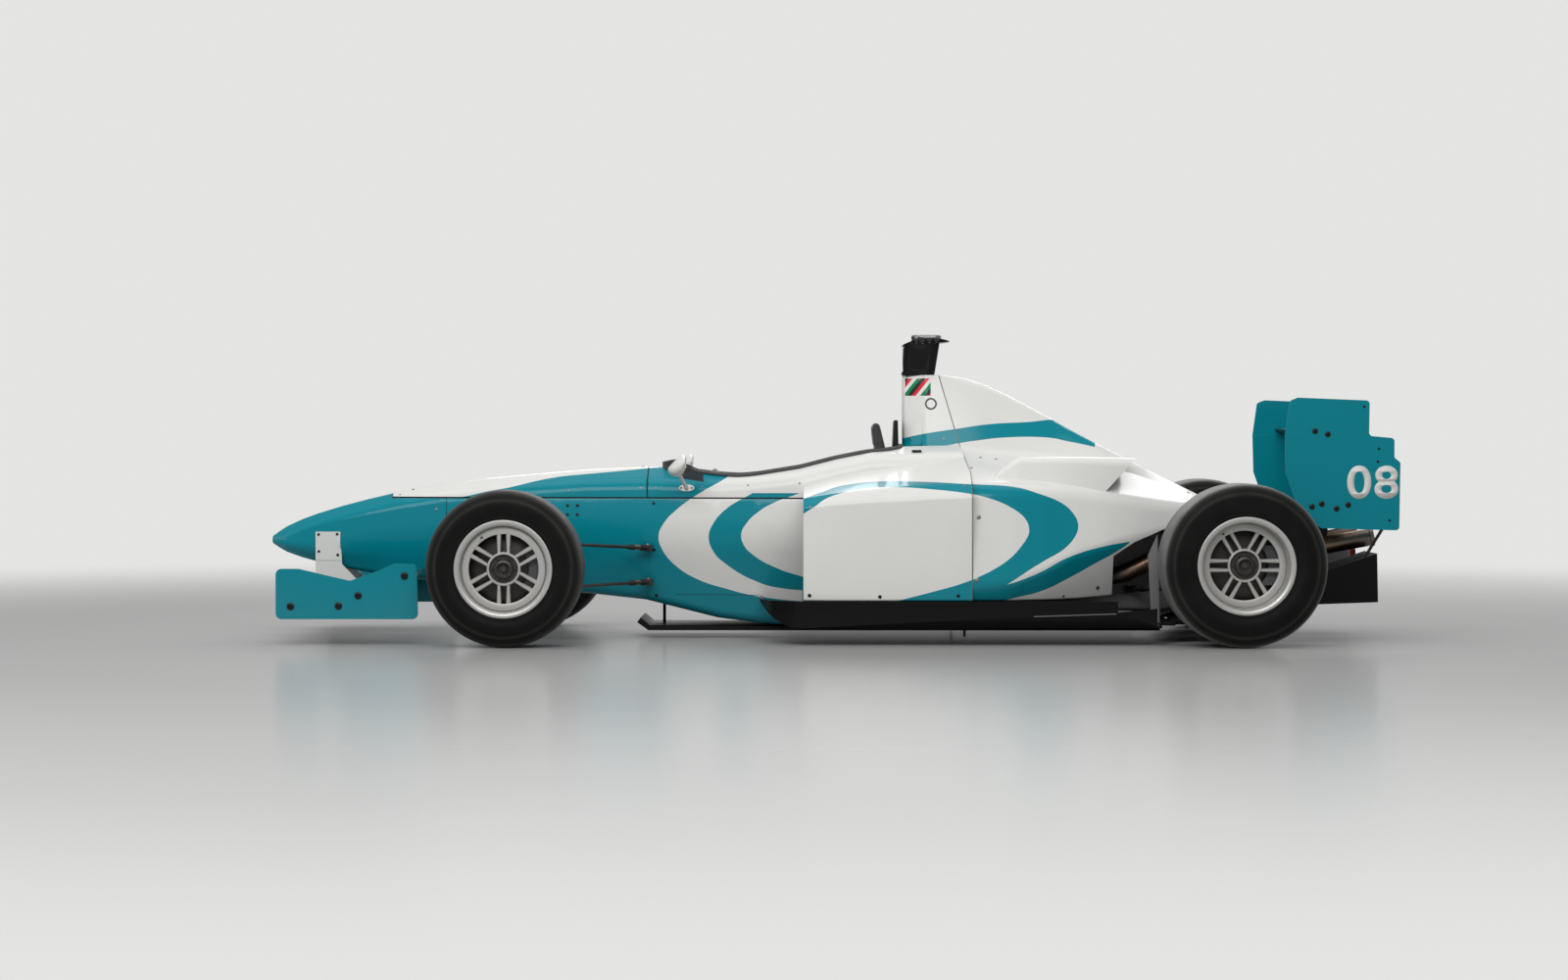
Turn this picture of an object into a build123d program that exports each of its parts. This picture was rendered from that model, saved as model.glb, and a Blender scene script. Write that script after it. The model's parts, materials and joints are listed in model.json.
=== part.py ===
from build123d import *
import os
from math import cos, hypot, pi, radians, sin, tan

# Open wheel racing car: one seat, engine behind the driver, slick tyres, wings at both ends.
# Millimetres. +X is forward, +Y is the car's left, +Z is up. The origin is on the ground,
# midway between the nose tip and the trailing edge of the rear wing plates.

# Overall places
LENGTH = 4360.0
HALF_LENGTH = LENGTH / 2
HALF_WIDTH = 880.0
FRONT_AXLE_X = 1195.0
WHEELBASE = 2750.0
REAR_AXLE_X = FRONT_AXLE_X - WHEELBASE

# Fits and panel lines
SEAT_GAP = 0.3
BODY_WALL = 12.0
PANEL_LINE = 4.0
PANEL_LINE_DEPTH = 4.0

# Tyres and wheels
FRONT_TYRE_R = 293.0
REAR_TYRE_R = 305.0
FRONT_TYRE_W = 250.0
REAR_TYRE_W = 345.0
TYRE_CASING = 9.0
TREAD_SETBACK = 34.0
SHOULDER_DROP = 26.0
RIM_INSET = 6.0
RIM_LIP_R = 183.0
BEAD_SEAT_R = 165.0
BARREL_R = 157.0
RIM_WALL = 5.0
SPOKE_PAIRS = 6
SPOKE_PAIR_PITCH = 35.0
SPOKE_HUB_W = 13.0
SPOKE_RIM_W = 17.0
SPOKE_DEPTH = 18.0
SPOKE_RING_R = 130.0
RIM_HUB_R = 64.0
HUB_RECESS_R = 53.0
HUB_RECESS = 10.0
FRONT_DISH = 30.0
REAR_DISH = 80.0
NUT_R = 33.0
NUT_LENGTH = 24.0

# Brakes and hubs
DISC_R = 138.0
DISC_W = 24.0
DISC_BELL_R = 60.0
DISC_SETBACK = 40.0
CALIPER_R = 146.0
CALIPER_INNER_R = 92.0
CALIPER_GRIP = 14.0
CALIPER_CLEARANCE = 3.0
AXLE_R = 30.0
DRIVESHAFT_R = 12.5

# Steering
KINGPIN_SETBACK = 204.0
KINGPIN_Y = HALF_WIDTH - KINGPIN_SETBACK
STEER_PIN_R = 8.0
EYE_R = 17.0
EYE_H = 16.0
EAR_H = 8.0
UPPER_JOINT_Z = 391.0
LOWER_JOINT_Z = 205.0
STEERING_ARM_X = 105.0
STEERING_ARM_H = 10.0
TIE_ROD_Z = 352.0
TIE_ROD_R = 9.0
RACK_R = 14.0
RACK_HALF_Y = 120.0
ROD_END_R = 13.0
ROD_END_H = 22.0
ROD_CLEARANCE = 0.5
RACK_PORT_CLEARANCE = 6.0
COLUMN_TILT = 10.3
COLUMN_R = 11.0
STEERING_WHEEL_X = 412.0
STEERING_WHEEL_Z = 514.0
STEERING_WHEEL_R = 132.0
STEERING_GRIP_R = 14.0

# Uprights
UPRIGHT_PLATE = 22.0
UPRIGHT_BACK = 24.0
BEARING_R = 56.0
REAR_BALL_SETBACK = 280.0
REAR_BALL_Y = HALF_WIDTH - REAR_BALL_SETBACK
REAR_UPPER_Z = 400.0
REAR_LOWER_Z = 205.0
LEG_CHORD = 15.0
LEG_THICK = 6.5
PUSHROD_R = 9.0
TOE_LINK_R = 8.0
CALIPER_HALF_H = 74.0
CALIPER_ARM_HALF_H = 34.0

# Where the wishbone legs meet the body, front leg then rear leg: x, y, z on the left
FRONT_UPPER_FEET = [(1345.0, 176.0, 372.0), (689.0, 232.0, 352.0)]
FRONT_LOWER_FEET = [(1345.0, 140.0, 232.0), (689.0, 196.0, 219.0)]
REAR_UPPER_FEET = [(-1240.0, 132.0, 420.0), (-1730.0, 94.0, 420.0)]
REAR_LOWER_FEET = [(-1180.0, 138.0, 190.0), (-1650.0, 96.0, 240.0)]
TOE_LINK_FOOT = (-1700.0, 90.0, 262.0)
# Half length, outer and inner reach and half height of the bracket round each foot
FOOT_HALF_X = 17.0
FOOT_OUT_Y = 22.0
FOOT_IN_Y = 10.0
FOOT_HALF_Z = 13.0

# Fuselage stations, nose to rear. Half widths and heights of the corners of each ring, bottom to top,
# and the share of the full corner radii that the ring has:
# x, low_y, low_z, wide_y, wide_z, shoulder_y, shoulder_z, top_y, top_z, share
FUSELAGE = [
    (2180.0, 14.0, 364.0, 26.0, 374.0, 22.0, 384.0, 12.0, 392.0, 0.10),
    (2120.0, 40.0, 330.0, 74.0, 360.0, 66.0, 396.0, 26.0, 432.0, 0.18),
    (2000.0, 68.0, 294.0, 114.0, 342.0, 102.0, 438.0, 40.0, 481.0, 0.26),
    (1800.0, 88.0, 252.0, 142.0, 358.0, 122.0, 494.0, 52.0, 538.0, 0.60),
    (1500.0, 104.0, 214.0, 170.0, 376.0, 142.0, 556.0, 62.0, 601.0, 1.0),
    (1150.0, 120.0, 188.0, 196.0, 390.0, 165.0, 592.0, 72.0, 638.0, 1.0),
    (700.0, 148.0, 146.0, 236.0, 400.0, 205.0, 610.0, 90.0, 666.0, 1.0),
    (420.0, 185.0, 78.0, 292.0, 400.0, 258.0, 606.0, 130.0, 660.0, 1.0),
    (100.0, 240.0, 50.0, 330.0, 410.0, 292.0, 640.0, 150.0, 690.0, 1.0),
    (-180.0, 255.0, 50.0, 345.0, 420.0, 300.0, 708.0, 160.0, 742.0, 1.0),
    (-600.0, 262.0, 50.0, 345.0, 420.0, 300.0, 718.0, 160.0, 752.0, 1.0),
]
FUSELAGE_RADII = (55.0, 320.0, 70.0, 60.0)
FUSELAGE_STEPS = 2
CAVITY_FRONT_X = 1800.0
LINE_FRONT_X = 2120.0
SEAM_Z = 548.0
NOSE_JOINT_X = 1480.0
HATCH_FRONT_X = 1700.0
HATCH_REAR_X = 692.0
TUB_REAR_X = -430.0
BULKHEAD = 30.0
TUB_BOTTOM_Z = 50.0

# Cockpit opening in plan, half outline from the front
COCKPIT_FRONT_X = 585.0
COCKPIT_WIDE_X = 330.0
COCKPIT_REAR_X = -290.0
COCKPIT_FRONT_Y = 120.0
COCKPIT_HALF_Y = 226.0

# The joint between the front bodywork and the engine cover, in side view
COVER_JOINT_X = -550.0
COVER_JOINT_BEND_Z = 650.0
COVER_JOINT_TOP_X = -443.0
SPINE_TOP_Z = 1025.0

# Sidepods. x, outer_y, outer_z (top of the side), shoulder_y, shoulder_z, deck_z (at the tub)
SIDEPOD = [
    (84.0, 656.0, 516.0, 626.0, 552.0, 600.0),
    (-20.0, 671.0, 530.0, 640.0, 568.0, 642.0),
    (-240.0, 676.0, 545.0, 640.0, 592.0, 690.0),
    (-560.0, 676.0, 560.0, 632.0, 612.0, 742.0),
]
SIDEPOD_STEPS = 2
SIDEPOD_ROOT_Y = 180.0
SIDEPOD_LOW_Z = 166.0
SIDEPOD_WALL = 6.0
SIDEPOD_LIP = 14.0
SIDEPOD_RADII = (8.0, 8.0, 30.0, 30.0, 8.0)

# Engine cover. x, low_y, low_z, crease_y, crease_z, shoulder_y, shoulder_z, neck_y, neck_z, top_y, top_z
ENGINE_COVER = [
    (-400.0, 660.0, 166.0, 677.0, 215.0, 640.0, 600.0, 165.0, 742.0, 66.0, 1030.0),
    (-540.0, 650.0, 166.0, 676.0, 222.0, 630.0, 603.0, 160.0, 731.0, 63.0, 1014.0),
    (-700.0, 632.0, 166.0, 668.0, 235.0, 610.0, 602.0, 150.0, 714.0, 58.0, 954.0),
    (-950.0, 505.0, 168.0, 592.0, 340.0, 520.0, 582.0, 130.0, 697.0, 44.0, 818.0),
    (-1200.0, 330.0, 190.0, 440.0, 400.0, 395.0, 545.0, 110.0, 640.0, 36.0, 688.0),
    (-1480.0, 150.0, 400.0, 215.0, 455.0, 195.0, 512.0, 90.0, 536.0, 30.0, 548.0),
]
COVER_RADII = (14.0, 60.0, 80.0, 60.0, 34.0)
COVER_STEPS = 2
COVER_WALL = 5.0
COVER_FLANGE = 16.0

# Hot air outlets on the shoulders. x, outer_y, outer_z, top_y, top_z
OUTLET = [
    (-600.0, 548.0, 540.0, 520.0, 596.0),
    (-740.0, 545.0, 540.0, 470.0, 706.0),
    (-1000.0, 476.0, 520.0, 420.0, 706.0),
    (-1200.0, 400.0, 500.0, 375.0, 701.0),
]
OUTLET_ROOT_Y = 120.0
OUTLET_LOW_Z = 470.0
OUTLET_RADII = (6.0, 6.0, 24.0, 44.0, 6.0)
OUTLET_STEPS = 2
OUTLET_TIP_X = -1190.0
OUTLET_DEPTH_X = -700.0
OUTLET_FOOT_X = -1040.0
OUTLET_FOOT_Z = 545.0

# Roll hoop fairing and the air intake on it
HOOP_FRONT_X = -302.0
HOOP_LOW_Z = 690.0
HOOP_LOW_Y = 176.0
HOOP_TOP_Y = 66.0
INTAKE_LOW_FRONT_X = -299.0
INTAKE_LOW_REAR_X = -428.0
INTAKE_TOP_FRONT_X = -308.0
INTAKE_TOP_REAR_X = -449.0
INTAKE_LOW_Y = 58.0
INTAKE_TOP_Y = 78.0
INTAKE_TOP_Z = 1156.0
INTAKE_WALL = 6.0
VISOR_FRONT_X = -302.0
VISOR_REAR_X = -485.0
VISOR_FRONT_Z = 1143.0
VISOR_REAR_Z = 1158.0
VISOR_CROWN_Z = 1170.0
VISOR_HALF_Y = 92.0
CAP_FRONT_X = -338.0
CAP_REAR_X = -455.0
CAP_HALF_Y = 42.0
CAP_TOP_Z = 1184.0

# Floor tray, plank and diffuser
FLOOR_Z = 66.0
FLOOR_SHEET = 8.0
FLOOR_HALF_Y = 690.0
FLOOR_TIP_X = 252.0
FLOOR_BOW_MID = (206.0, 108.0)
FLOOR_BOW_X = 128.0
FLOOR_SILL_END_X = -1094.0
FLOOR_SILL_TAIL_Z = 125.0
FLOOR_END_X = -1262.0
FLOOR_NECK_Y = 500.0
FLOOR_REAR_X = -1330.0
PEG_X = -520.0
PEG_Y = 675.0
PEG_LOW_Z = 34.0
PEG_R = 5.0
PLANK_LOW_Z = 30.0
PLANK_HALF_Y = 190.0
PLANK_FRONT_X = 734.0
PLANK_BEND_X = 690.0
PLANK_REAR_X = -1300.0
PLANK_LIP_Z = 80.0
STAY_X = 635.0
STAY_R = 6.0
DIFFUSER_END_X = -2104.0
DIFFUSER_END_Z = 338.0
DIFFUSER_START_Z = 74.0
DIFFUSER_HALF_Y = 430.0
DIFFUSER_KEEL_Y = 112.0
DIFFUSER_FOOT_Z = 152.0
DIFFUSER_SHEET = 5.0

# Engine and gearbox
ENGINE_HALF_Y = 215.0
ENGINE_LOW_Z = 80.0
ENGINE_TOP_Z = 560.0
ENGINE_REAR_X = -1000.0
# x, half_y, low_z, top_z
GEARBOX = [
    (-1000.0, 150.0, 110.0, 460.0),
    (-1300.0, 122.0, 100.0, 430.0),
    (-1600.0, 100.0, 140.0, 405.0),
    (-1850.0, 84.0, 240.0, 395.0),
    (-2057.0, 46.0, 300.0, 352.0),
]
# Ears on the gearbox that carry the suspension, left side: x, x, y, y, z, z
GEARBOX_EARS = [
    (-1490.0, -1430.0, 68.0, 112.0, 390.0, 518.0),
    (-1752.0, -1708.0, 76.0, 96.0, 370.0, 436.0),
]
OUTPUT_BOSS_R = 46.0
OUTPUT_BOSS_Y = 128.0
TOW_EYE_R = 14.0
TOW_EYE_OUTER_R = 24.0
TOW_EYE_T = 10.0
TOW_EYE_X = -2124.0
TOW_EYE_Z = 288.0
TOW_EYE_SHANK = 95.0
TOW_EYE_HALF_H = 14.0
RAIN_LIGHT_X = -2057.0
RAIN_LIGHT_T = 17.0
RAIN_LIGHT_HALF_Y = 34.0
RAIN_LIGHT_LOW_Z = 306.0
RAIN_LIGHT_TOP_Z = 346.0

# Exhausts
EXHAUST_R = 34.0
EXHAUST_WALL = 2.5
# x, y, z of the left pipe's bends
EXHAUST_BENDS = [150.0, 160.0, 260.0, 420.0]
EXHAUST_ROUTE = [
    (-1000.0, 190.0, 230.0),
    (-1150.0, 236.0, 250.0),
    (-1340.0, 235.0, 342.0),
    (-1520.0, 223.0, 359.0),
    (-1900.0, 208.0, 356.0),
    (-2118.0, 205.0, 396.0),
]

# Rear wing, (x, z) in side view
REAR_PLATE_Y = 497.0
REAR_PLATE_T = 6.0
REAR_PLATE = [
    (-1790.0, 932.0), (-2063.0, 921.0), (-2061.0, 787.0), (-2157.0, 778.0), (-2157.0, 704.0),
    (-HALF_LENGTH, 686.0), (-2176.0, 428.0), (-1880.0, 436.0), (-1790.0, 515.0),
    (-1746.0, 640.0), (-1742.0, 790.0), (-1760.0, 920.0),
]
REAR_PLATE_R = 14.0
# le_x, le_z, te_x, te_z, sag, thickness
REAR_UPPER = [
    (-1838.0, 815.0, -1992.0, 834.0, 26.0, 20.0),
    (-1988.0, 862.0, -2056.0, 916.0, 9.0, 10.0),
]
REAR_LOWER = [
    (-1824.0, 512.0, -1916.0, 536.0, 14.0, 14.0),
    (-1920.0, 508.0, -2024.0, 545.0, 14.0, 12.0),
]
MOUNT_Y = 26.0
MOUNT_T = 8.0
MOUNT = [(-1880, 340), (-1962, 340), (-1975, 440), (-2030, 600), (-1850, 600), (-1862, 440)]
# The stay from each rear plate down to the corner of the diffuser: x, y, z at its two ends
REAR_STAY = [(-2122.0, 493.0, 448.0), (-2058.0, 432.0, 326.0)]
REAR_STAY_R = 6.0

# Front wing
FRONT_PLATE_Y = 694.0
FRONT_PLATE_T = 6.0
FRONT_PLATE = [
    (2064.0, 288.0), (1978.0, 288.0), (1785.0, 243.0), (1670.0, 285.0), (1620.0, 308.0),
    (1534.0, 306.0), (1529.0, 99.0), (2064.0, 99.0),
]
FRONT_PLATE_R = 22.0
FRONT_MAIN = (2040.0, 152.0, 1800.0, 160.0, 20.0, 20.0)
FRONT_FLAP = (1786.0, 178.0, 1552.0, 276.0, 14.0, 11.0)
FLAP_ROOT_Y = 130.0
PYLON_Y = 114.0
PYLON_T = 8.0
PYLON = [(1996.0, 412.0), (1899.0, 412.0), (1893.0, 285.0), (1825.0, 215.0), (1812.0, 140.0), (1996.0, 140.0)]

# Cockpit fittings
SCREEN_T = 3.0
# Half outline of the screen in plan, from its rear end forwards, and its sloped top edge (x, z)
SCREEN_PLAN = [(470.0, 236.0), (560.0, 200.0), (640.0, 110.0)]
SCREEN_REAR_X = 474.0
SCREEN_EDGE = [(700.0, 400.0), (700.0, 672.0), (600.0, 694.0), (SCREEN_REAR_X, 640.0), (SCREEN_REAR_X, 400.0)]
# Left mirror head, a pear with its blunt end to the rear: x, z, half_y, half_z
MIRROR_HEAD = [
    (537.0, 685.0, 61.0, 23.0),
    (552.0, 674.0, 65.0, 37.0),
    (575.0, 662.0, 58.0, 33.0),
    (596.0, 656.0, 38.0, 17.0),
    (605.0, 655.0, 16.0, 6.0),
]
MIRROR_Y = 385.0
MIRROR_STALK = [(562.0, 362.0, 640.0), (536.0, 220.0, 575.0)]
MIRROR_STALK_R = 7.0
MIRROR_FOOT = [(538.0, 268.0, 592.0), (538.0, 200.0, 592.0)]
MIRROR_FOOT_R = 16.0
# Headrest pad and the upright panel behind it, (x, z) in side view, with a V gap between them
HEADREST_Y = 125.0
HEADREST_PANEL_Y = 113.0
HEADREST_LOW_Z = SEAM_Z + SEAT_GAP
HEADREST_PAD = [
    (-203.0, HEADREST_LOW_Z), (-188.0, 732.0), (-176.0, 828.0), (-182.0, 849.0), (-207.0, 849.0),
    (-236.0, 735.0), (-249.0, 700.0), (-249.0, HEADREST_LOW_Z),
]
HEADREST_PANEL = [
    (-249.0 - SEAT_GAP, HEADREST_LOW_Z), (-249.0 - SEAT_GAP, 700.0), (-262.0, 716.0), (-268.0, 849.0),
    (-283.0, 849.0), (-286.0, 716.0), (-330.0, 700.0), (-330.0, HEADREST_LOW_Z),
]
# Seat shell, (x, z) in side view: the base under the driver, and the sides
SEAT_FRONT_X = 330.0
SEAT_BASE = [(SEAT_FRONT_X, 150.0), (20.0, 165.0), (-230.0, 640.0)]
SEAT_SIDES = [(SEAT_FRONT_X, 200.0), (120.0, 300.0), (-60.0, 430.0), (-150.0, 640.0)]
SEAT_TOP_Z = 640.0
SEAT_WELL_Y = 165.0
DASH_X = 596.0
DASH_T = 12.0
DASH_LOW_Z = 430.0
DASH_BOSS_R = 26.0
DASH_BOSS = 8.0
RADIATOR_X = -210.0
RADIATOR_Y = 490.0
RADIATOR_T = 60.0
RADIATOR_W = 420.0
RADIATOR_H = 340.0
RADIATOR_TILT = 22.0
VANE_X = -1248.0
VANE_Y = 424.0
VANE_CHORD = 36.0
VANE_T = 8.0
VANE_FRONT_Z = 330.0
VANE_TOP_Z = 410.0

# The most of a side that one rounded corner may take
ROUND_LIMIT = 0.46
# Far larger than the car, for half spaces
FAR = 4000.0


def flank(half):
    """A half outline, bottom to top, with its mirror image, as one closed ring of (y, z)."""
    return half + [(-y, z) for y, z in reversed(half)]


def twice(radii):
    """Corner radii of a mirrored ring."""
    return list(radii) + list(radii)[::-1]


def smooth_rows(rows, steps):
    """The rows of a table with smooth ones added between them, along its first column."""
    xs = [row[0] for row in rows]

    def slope(values, i):
        """The rise along x at a row: none at a crest, else between those of its two sides."""
        rises = [(values[j + 1] - values[j]) / (xs[j + 1] - xs[j]) for j in (i - 1, i) if 0 <= j < len(xs) - 1]
        if len(rises) == 1:
            return rises[0]
        return 0.0 if rises[0] * rises[1] <= 0 else 2 * rises[0] * rises[1] / (rises[0] + rises[1])

    smooth = []
    for i in range(len(rows) - 1):
        run = xs[i + 1] - xs[i]
        for k in range(steps):
            t = k / steps
            row = [xs[i] + run * t]
            for values in list(zip(*rows))[1:]:
                rise = values[i + 1] - values[i]
                start, end = slope(values, i) * run, slope(values, i + 1) * run
                row.append(values[i] + start * t + (3 * rise - 2 * start - end) * t * t
                           + (start + end - 2 * rise) * t ** 3)
            smooth.append(row)
    return smooth + [list(rows[-1])]


def inset(points, gap):
    """The same closed ring with each side moved inwards. Rings run anticlockwise seen from +X."""
    sides = []
    for (ay, az), (by, bz) in zip(points, points[1:] + points[:1]):
        run = hypot(by - ay, bz - az)
        ny, nz = -(bz - az) / run, (by - ay) / run
        sides.append((ny, nz, ny * ay + nz * az + gap))
    moved = []
    for (n1y, n1z, d1), (n2y, n2z, d2) in zip(sides[-1:] + sides[:-1], sides):
        det = n1y * n2z - n1z * n2y
        moved.append(((d1 * n2z - d2 * n1z) / det, (n1y * d2 - n2y * d1) / det))
    return moved


def rounded(corners, radii):
    """A closed wire through corner points, each rounded by its own arc, which its sides may limit."""
    first = (corners[-1] + corners[0]) * 0.5
    edges = []
    cursor = first
    for i, corner in enumerate(corners):
        before = corners[i - 1] if i else first
        after = corners[i + 1] if i + 1 < len(corners) else first
        u = (before - corner).normalized()
        v = (after - corner).normalized()
        half_angle = radians(u.get_angle(v)) / 2
        room = ROUND_LIMIT * min((before - corner).length, (after - corner).length)
        reach = min(radii[i] / tan(half_angle), room)
        radius = reach * tan(half_angle)
        enter = corner + u * reach
        leave = corner + v * reach
        middle = corner + (u + v).normalized() * (radius / sin(half_angle) - radius)
        edges.append(Edge.make_line(cursor, enter))
        edges.append(Edge.make_three_point_arc(enter, middle, leave))
        cursor = leave
    edges.append(Edge.make_line(cursor, first))
    return Wire(edges)


def ring(x, points, radii, gap=0.0):
    """A rounded ring in the plane at x, moved inwards by gap."""
    if gap:
        points = inset(points, gap)
    kept = [max(r - gap, 2.0) for r in radii]
    return rounded([Vector(x, y, z) for y, z in points], kept)


def level(z, points, radii):
    """A rounded ring of (x, y) at height z."""
    return rounded([Vector(x, y, z) for x, y in points], radii)


def block(x0, x1, y0, y1, z0, z1):
    """A box between six planes."""
    return Pos((x0 + x1) / 2, (y0 + y1) / 2, (z0 + z1) / 2) * Box(abs(x1 - x0), abs(y1 - y0), abs(z1 - z0))


def side_face(outline, y=0.0):
    """A flat face from an (x, z) outline, at y."""
    return make_face(Polyline(*[(x, y, z) for x, z in outline], close=True)).face()


def side_plate(outline, y, thickness, radius=0.0):
    """A flat plate from an (x, z) outline, from y to y + thickness."""
    face = side_face(outline, y)
    if radius:
        face = face.fillet_2d(radius, face.vertices())
    return Solid.extrude(face, Vector(0, thickness, 0))


def mirrored(shape):
    """The same shape on the car's right."""
    return Compound([s.mirror(Plane.XZ) for s in solids_of(shape)])


def solids_of(shape):
    """The solids of a shape or of a list of shapes."""
    if isinstance(shape, (list, tuple)):
        return [s for item in shape for s in solids_of(item)]
    return list(shape.solids())


def both(shape):
    """A left piece and its mirror image."""
    return solids_of(shape) + solids_of(mirrored(Compound(solids_of(shape))))


def rod(start, end, radius):
    """A straight round bar between two points."""
    a, b = Vector(*start), Vector(*end)
    return Solid.make_cylinder(radius, (b - a).length, Plane(origin=a, z_dir=(b - a).normalized()))


def blade(start, end, chord, thick):
    """A bar of lens section between two points, its flat side level."""
    a, b = Vector(*start), Vector(*end)
    way = (b - a).normalized()
    across = way.cross(Vector(0, 0, 1)).normalized()
    up = across.cross(way)
    over = Edge.make_three_point_arc(a - across * chord, a + up * thick, a + across * chord)
    under = Edge.make_three_point_arc(a + across * chord, a - up * thick, a - across * chord)
    return Solid.extrude(Face(Wire([over, under])), b - a)


def disc_y(x, z, y0, y1, radius):
    """A round plate or shaft along Y."""
    return Solid.make_cylinder(radius, y1 - y0, Plane(origin=(x, y0, z), z_dir=(0, 1, 0)))


def post(x, y, z0, z1, radius):
    """A round pin along Z."""
    return Solid.make_cylinder(radius, z1 - z0, Plane(origin=(x, y, z0)))


def turned_y(x, z, outline):
    """A body turned about the wheel axis at (x, z), from an outline of (y, radius)."""
    face = make_face(Polyline(*[(0, y, r) for y, r in outline], close=True)).face()
    return Pos(x, 0, z) * Solid.revolve(face, 360, Axis.Y)


def save(name, shape):
    """Writes the solids of a node to its STEP file."""
    kept = solids_of(shape)
    export_step(kept[0] if len(kept) == 1 else Compound(kept), f"parts/{name}.step")


def fuselage_skin(front_x=HALF_LENGTH, gap=0.0):
    """The fuselage from the station at front_x to the rear, moved inwards by gap."""
    wires = []
    for row in smooth_rows(FUSELAGE, FUSELAGE_STEPS):
        if row[0] <= front_x:
            half = list(zip(row[1:9:2], row[2:9:2]))
            wires.append(ring(row[0], flank(half), [r * row[9] for r in twice(FUSELAGE_RADII)], gap))
    return Solid.make_loft(wires, True)


def front_of_cover_joint():
    """Everything ahead of the joint with the engine cover."""
    outline = [
        (COVER_JOINT_X, -10), (COVER_JOINT_X, COVER_JOINT_BEND_Z), (COVER_JOINT_TOP_X, SPINE_TOP_Z),
        (COVER_JOINT_TOP_X, 1300), (HALF_LENGTH + 20, 1300), (HALF_LENGTH + 20, -10),
    ]
    return side_plate(outline, -FAR / 2, FAR)


def cockpit_cutter():
    """The opening over the driver, through the surround."""
    y0, y1 = COCKPIT_FRONT_Y, COCKPIT_HALF_Y
    half = [(COCKPIT_REAR_X, y1 - 40), (COCKPIT_REAR_X + 60, y1), (COCKPIT_WIDE_X, y1), (COCKPIT_FRONT_X, y0)]
    outline = half + [(x, -y) for x, y in reversed(half)]
    low = level(SEAM_Z - 60, outline, [30, 60, 120, 60, 60, 120, 60, 30])
    return Solid.extrude(Face(low), Vector(0, 0, 500))


def panel_line(z, line_skin):
    """The shallow groove where two panels meet at height z."""
    return block(-FAR, FAR, -FAR, FAR, z - PANEL_LINE, z) - line_skin


def build_fuselage():
    """Tub, nose cone, front hatch and cockpit surround, cut from one skin."""
    outer = fuselage_skin()
    cavity = fuselage_skin(CAVITY_FRONT_X, BODY_WALL)
    line_skin = fuselage_skin(LINE_FRONT_X, PANEL_LINE_DEPTH)
    below = block(-FAR, FAR, -FAR, FAR, -FAR, SEAM_Z)
    above = block(-FAR, FAR, -FAR, FAR, SEAM_Z, FAR)
    groove = panel_line(SEAM_Z, line_skin)

    tub = outer & below & block(TUB_REAR_X, NOSE_JOINT_X, -FAR, FAR, -FAR, FAR)
    tub -= cavity & block(TUB_REAR_X + BULKHEAD, NOSE_JOINT_X - BULKHEAD, -FAR, FAR, -FAR, FAR)
    tub -= groove
    port_r = TIE_ROD_R + RACK_PORT_CLEARANCE
    tub -= disc_y(FRONT_AXLE_X + STEERING_ARM_X, TIE_ROD_Z, -FAR, FAR, port_r)

    hatch = (outer - cavity) & above & block(HATCH_REAR_X, HATCH_FRONT_X, -FAR, FAR, -FAR, FAR)
    hatch -= block(HATCH_REAR_X, HATCH_REAR_X + PANEL_LINE, -FAR, FAR, 0, FAR) - line_skin

    nose = outer & block(NOSE_JOINT_X, FAR, -FAR, FAR, -FAR, FAR)
    nose -= above & block(NOSE_JOINT_X, HATCH_FRONT_X, -FAR, FAR, -FAR, FAR)
    nose -= cavity & block(NOSE_JOINT_X, HATCH_FRONT_X + BULKHEAD, -FAR, FAR, -FAR, FAR)
    nose -= groove & block(NOSE_JOINT_X, HATCH_FRONT_X, -FAR, FAR, -FAR, FAR)

    surround = (outer - cavity) & above & block(-FAR, HATCH_REAR_X, -FAR, FAR, -FAR, FAR)
    surround = surround & front_of_cover_joint()
    surround -= cockpit_cutter()
    return outer, cavity, tub, hatch, nose, surround


def build_hoop_fairing(outer):
    """The white fairing over the roll hoop, behind the driver's head."""
    wires = []
    for z, half_y in ((HOOP_LOW_Z, HOOP_LOW_Y), (SPINE_TOP_Z, HOOP_TOP_Y)):
        half = [(COVER_JOINT_X - 80, half_y), (HOOP_FRONT_X - 90, half_y), (HOOP_FRONT_X, half_y * 0.5)]
        outline = half + [(x, -y) for x, y in reversed(half)]
        turn = half_y * 0.35
        wires.append(level(z, outline, [4, turn, turn, turn, turn, 4]))
    fairing = Solid.make_loft(wires, True)
    return (fairing & front_of_cover_joint()) - outer


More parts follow.
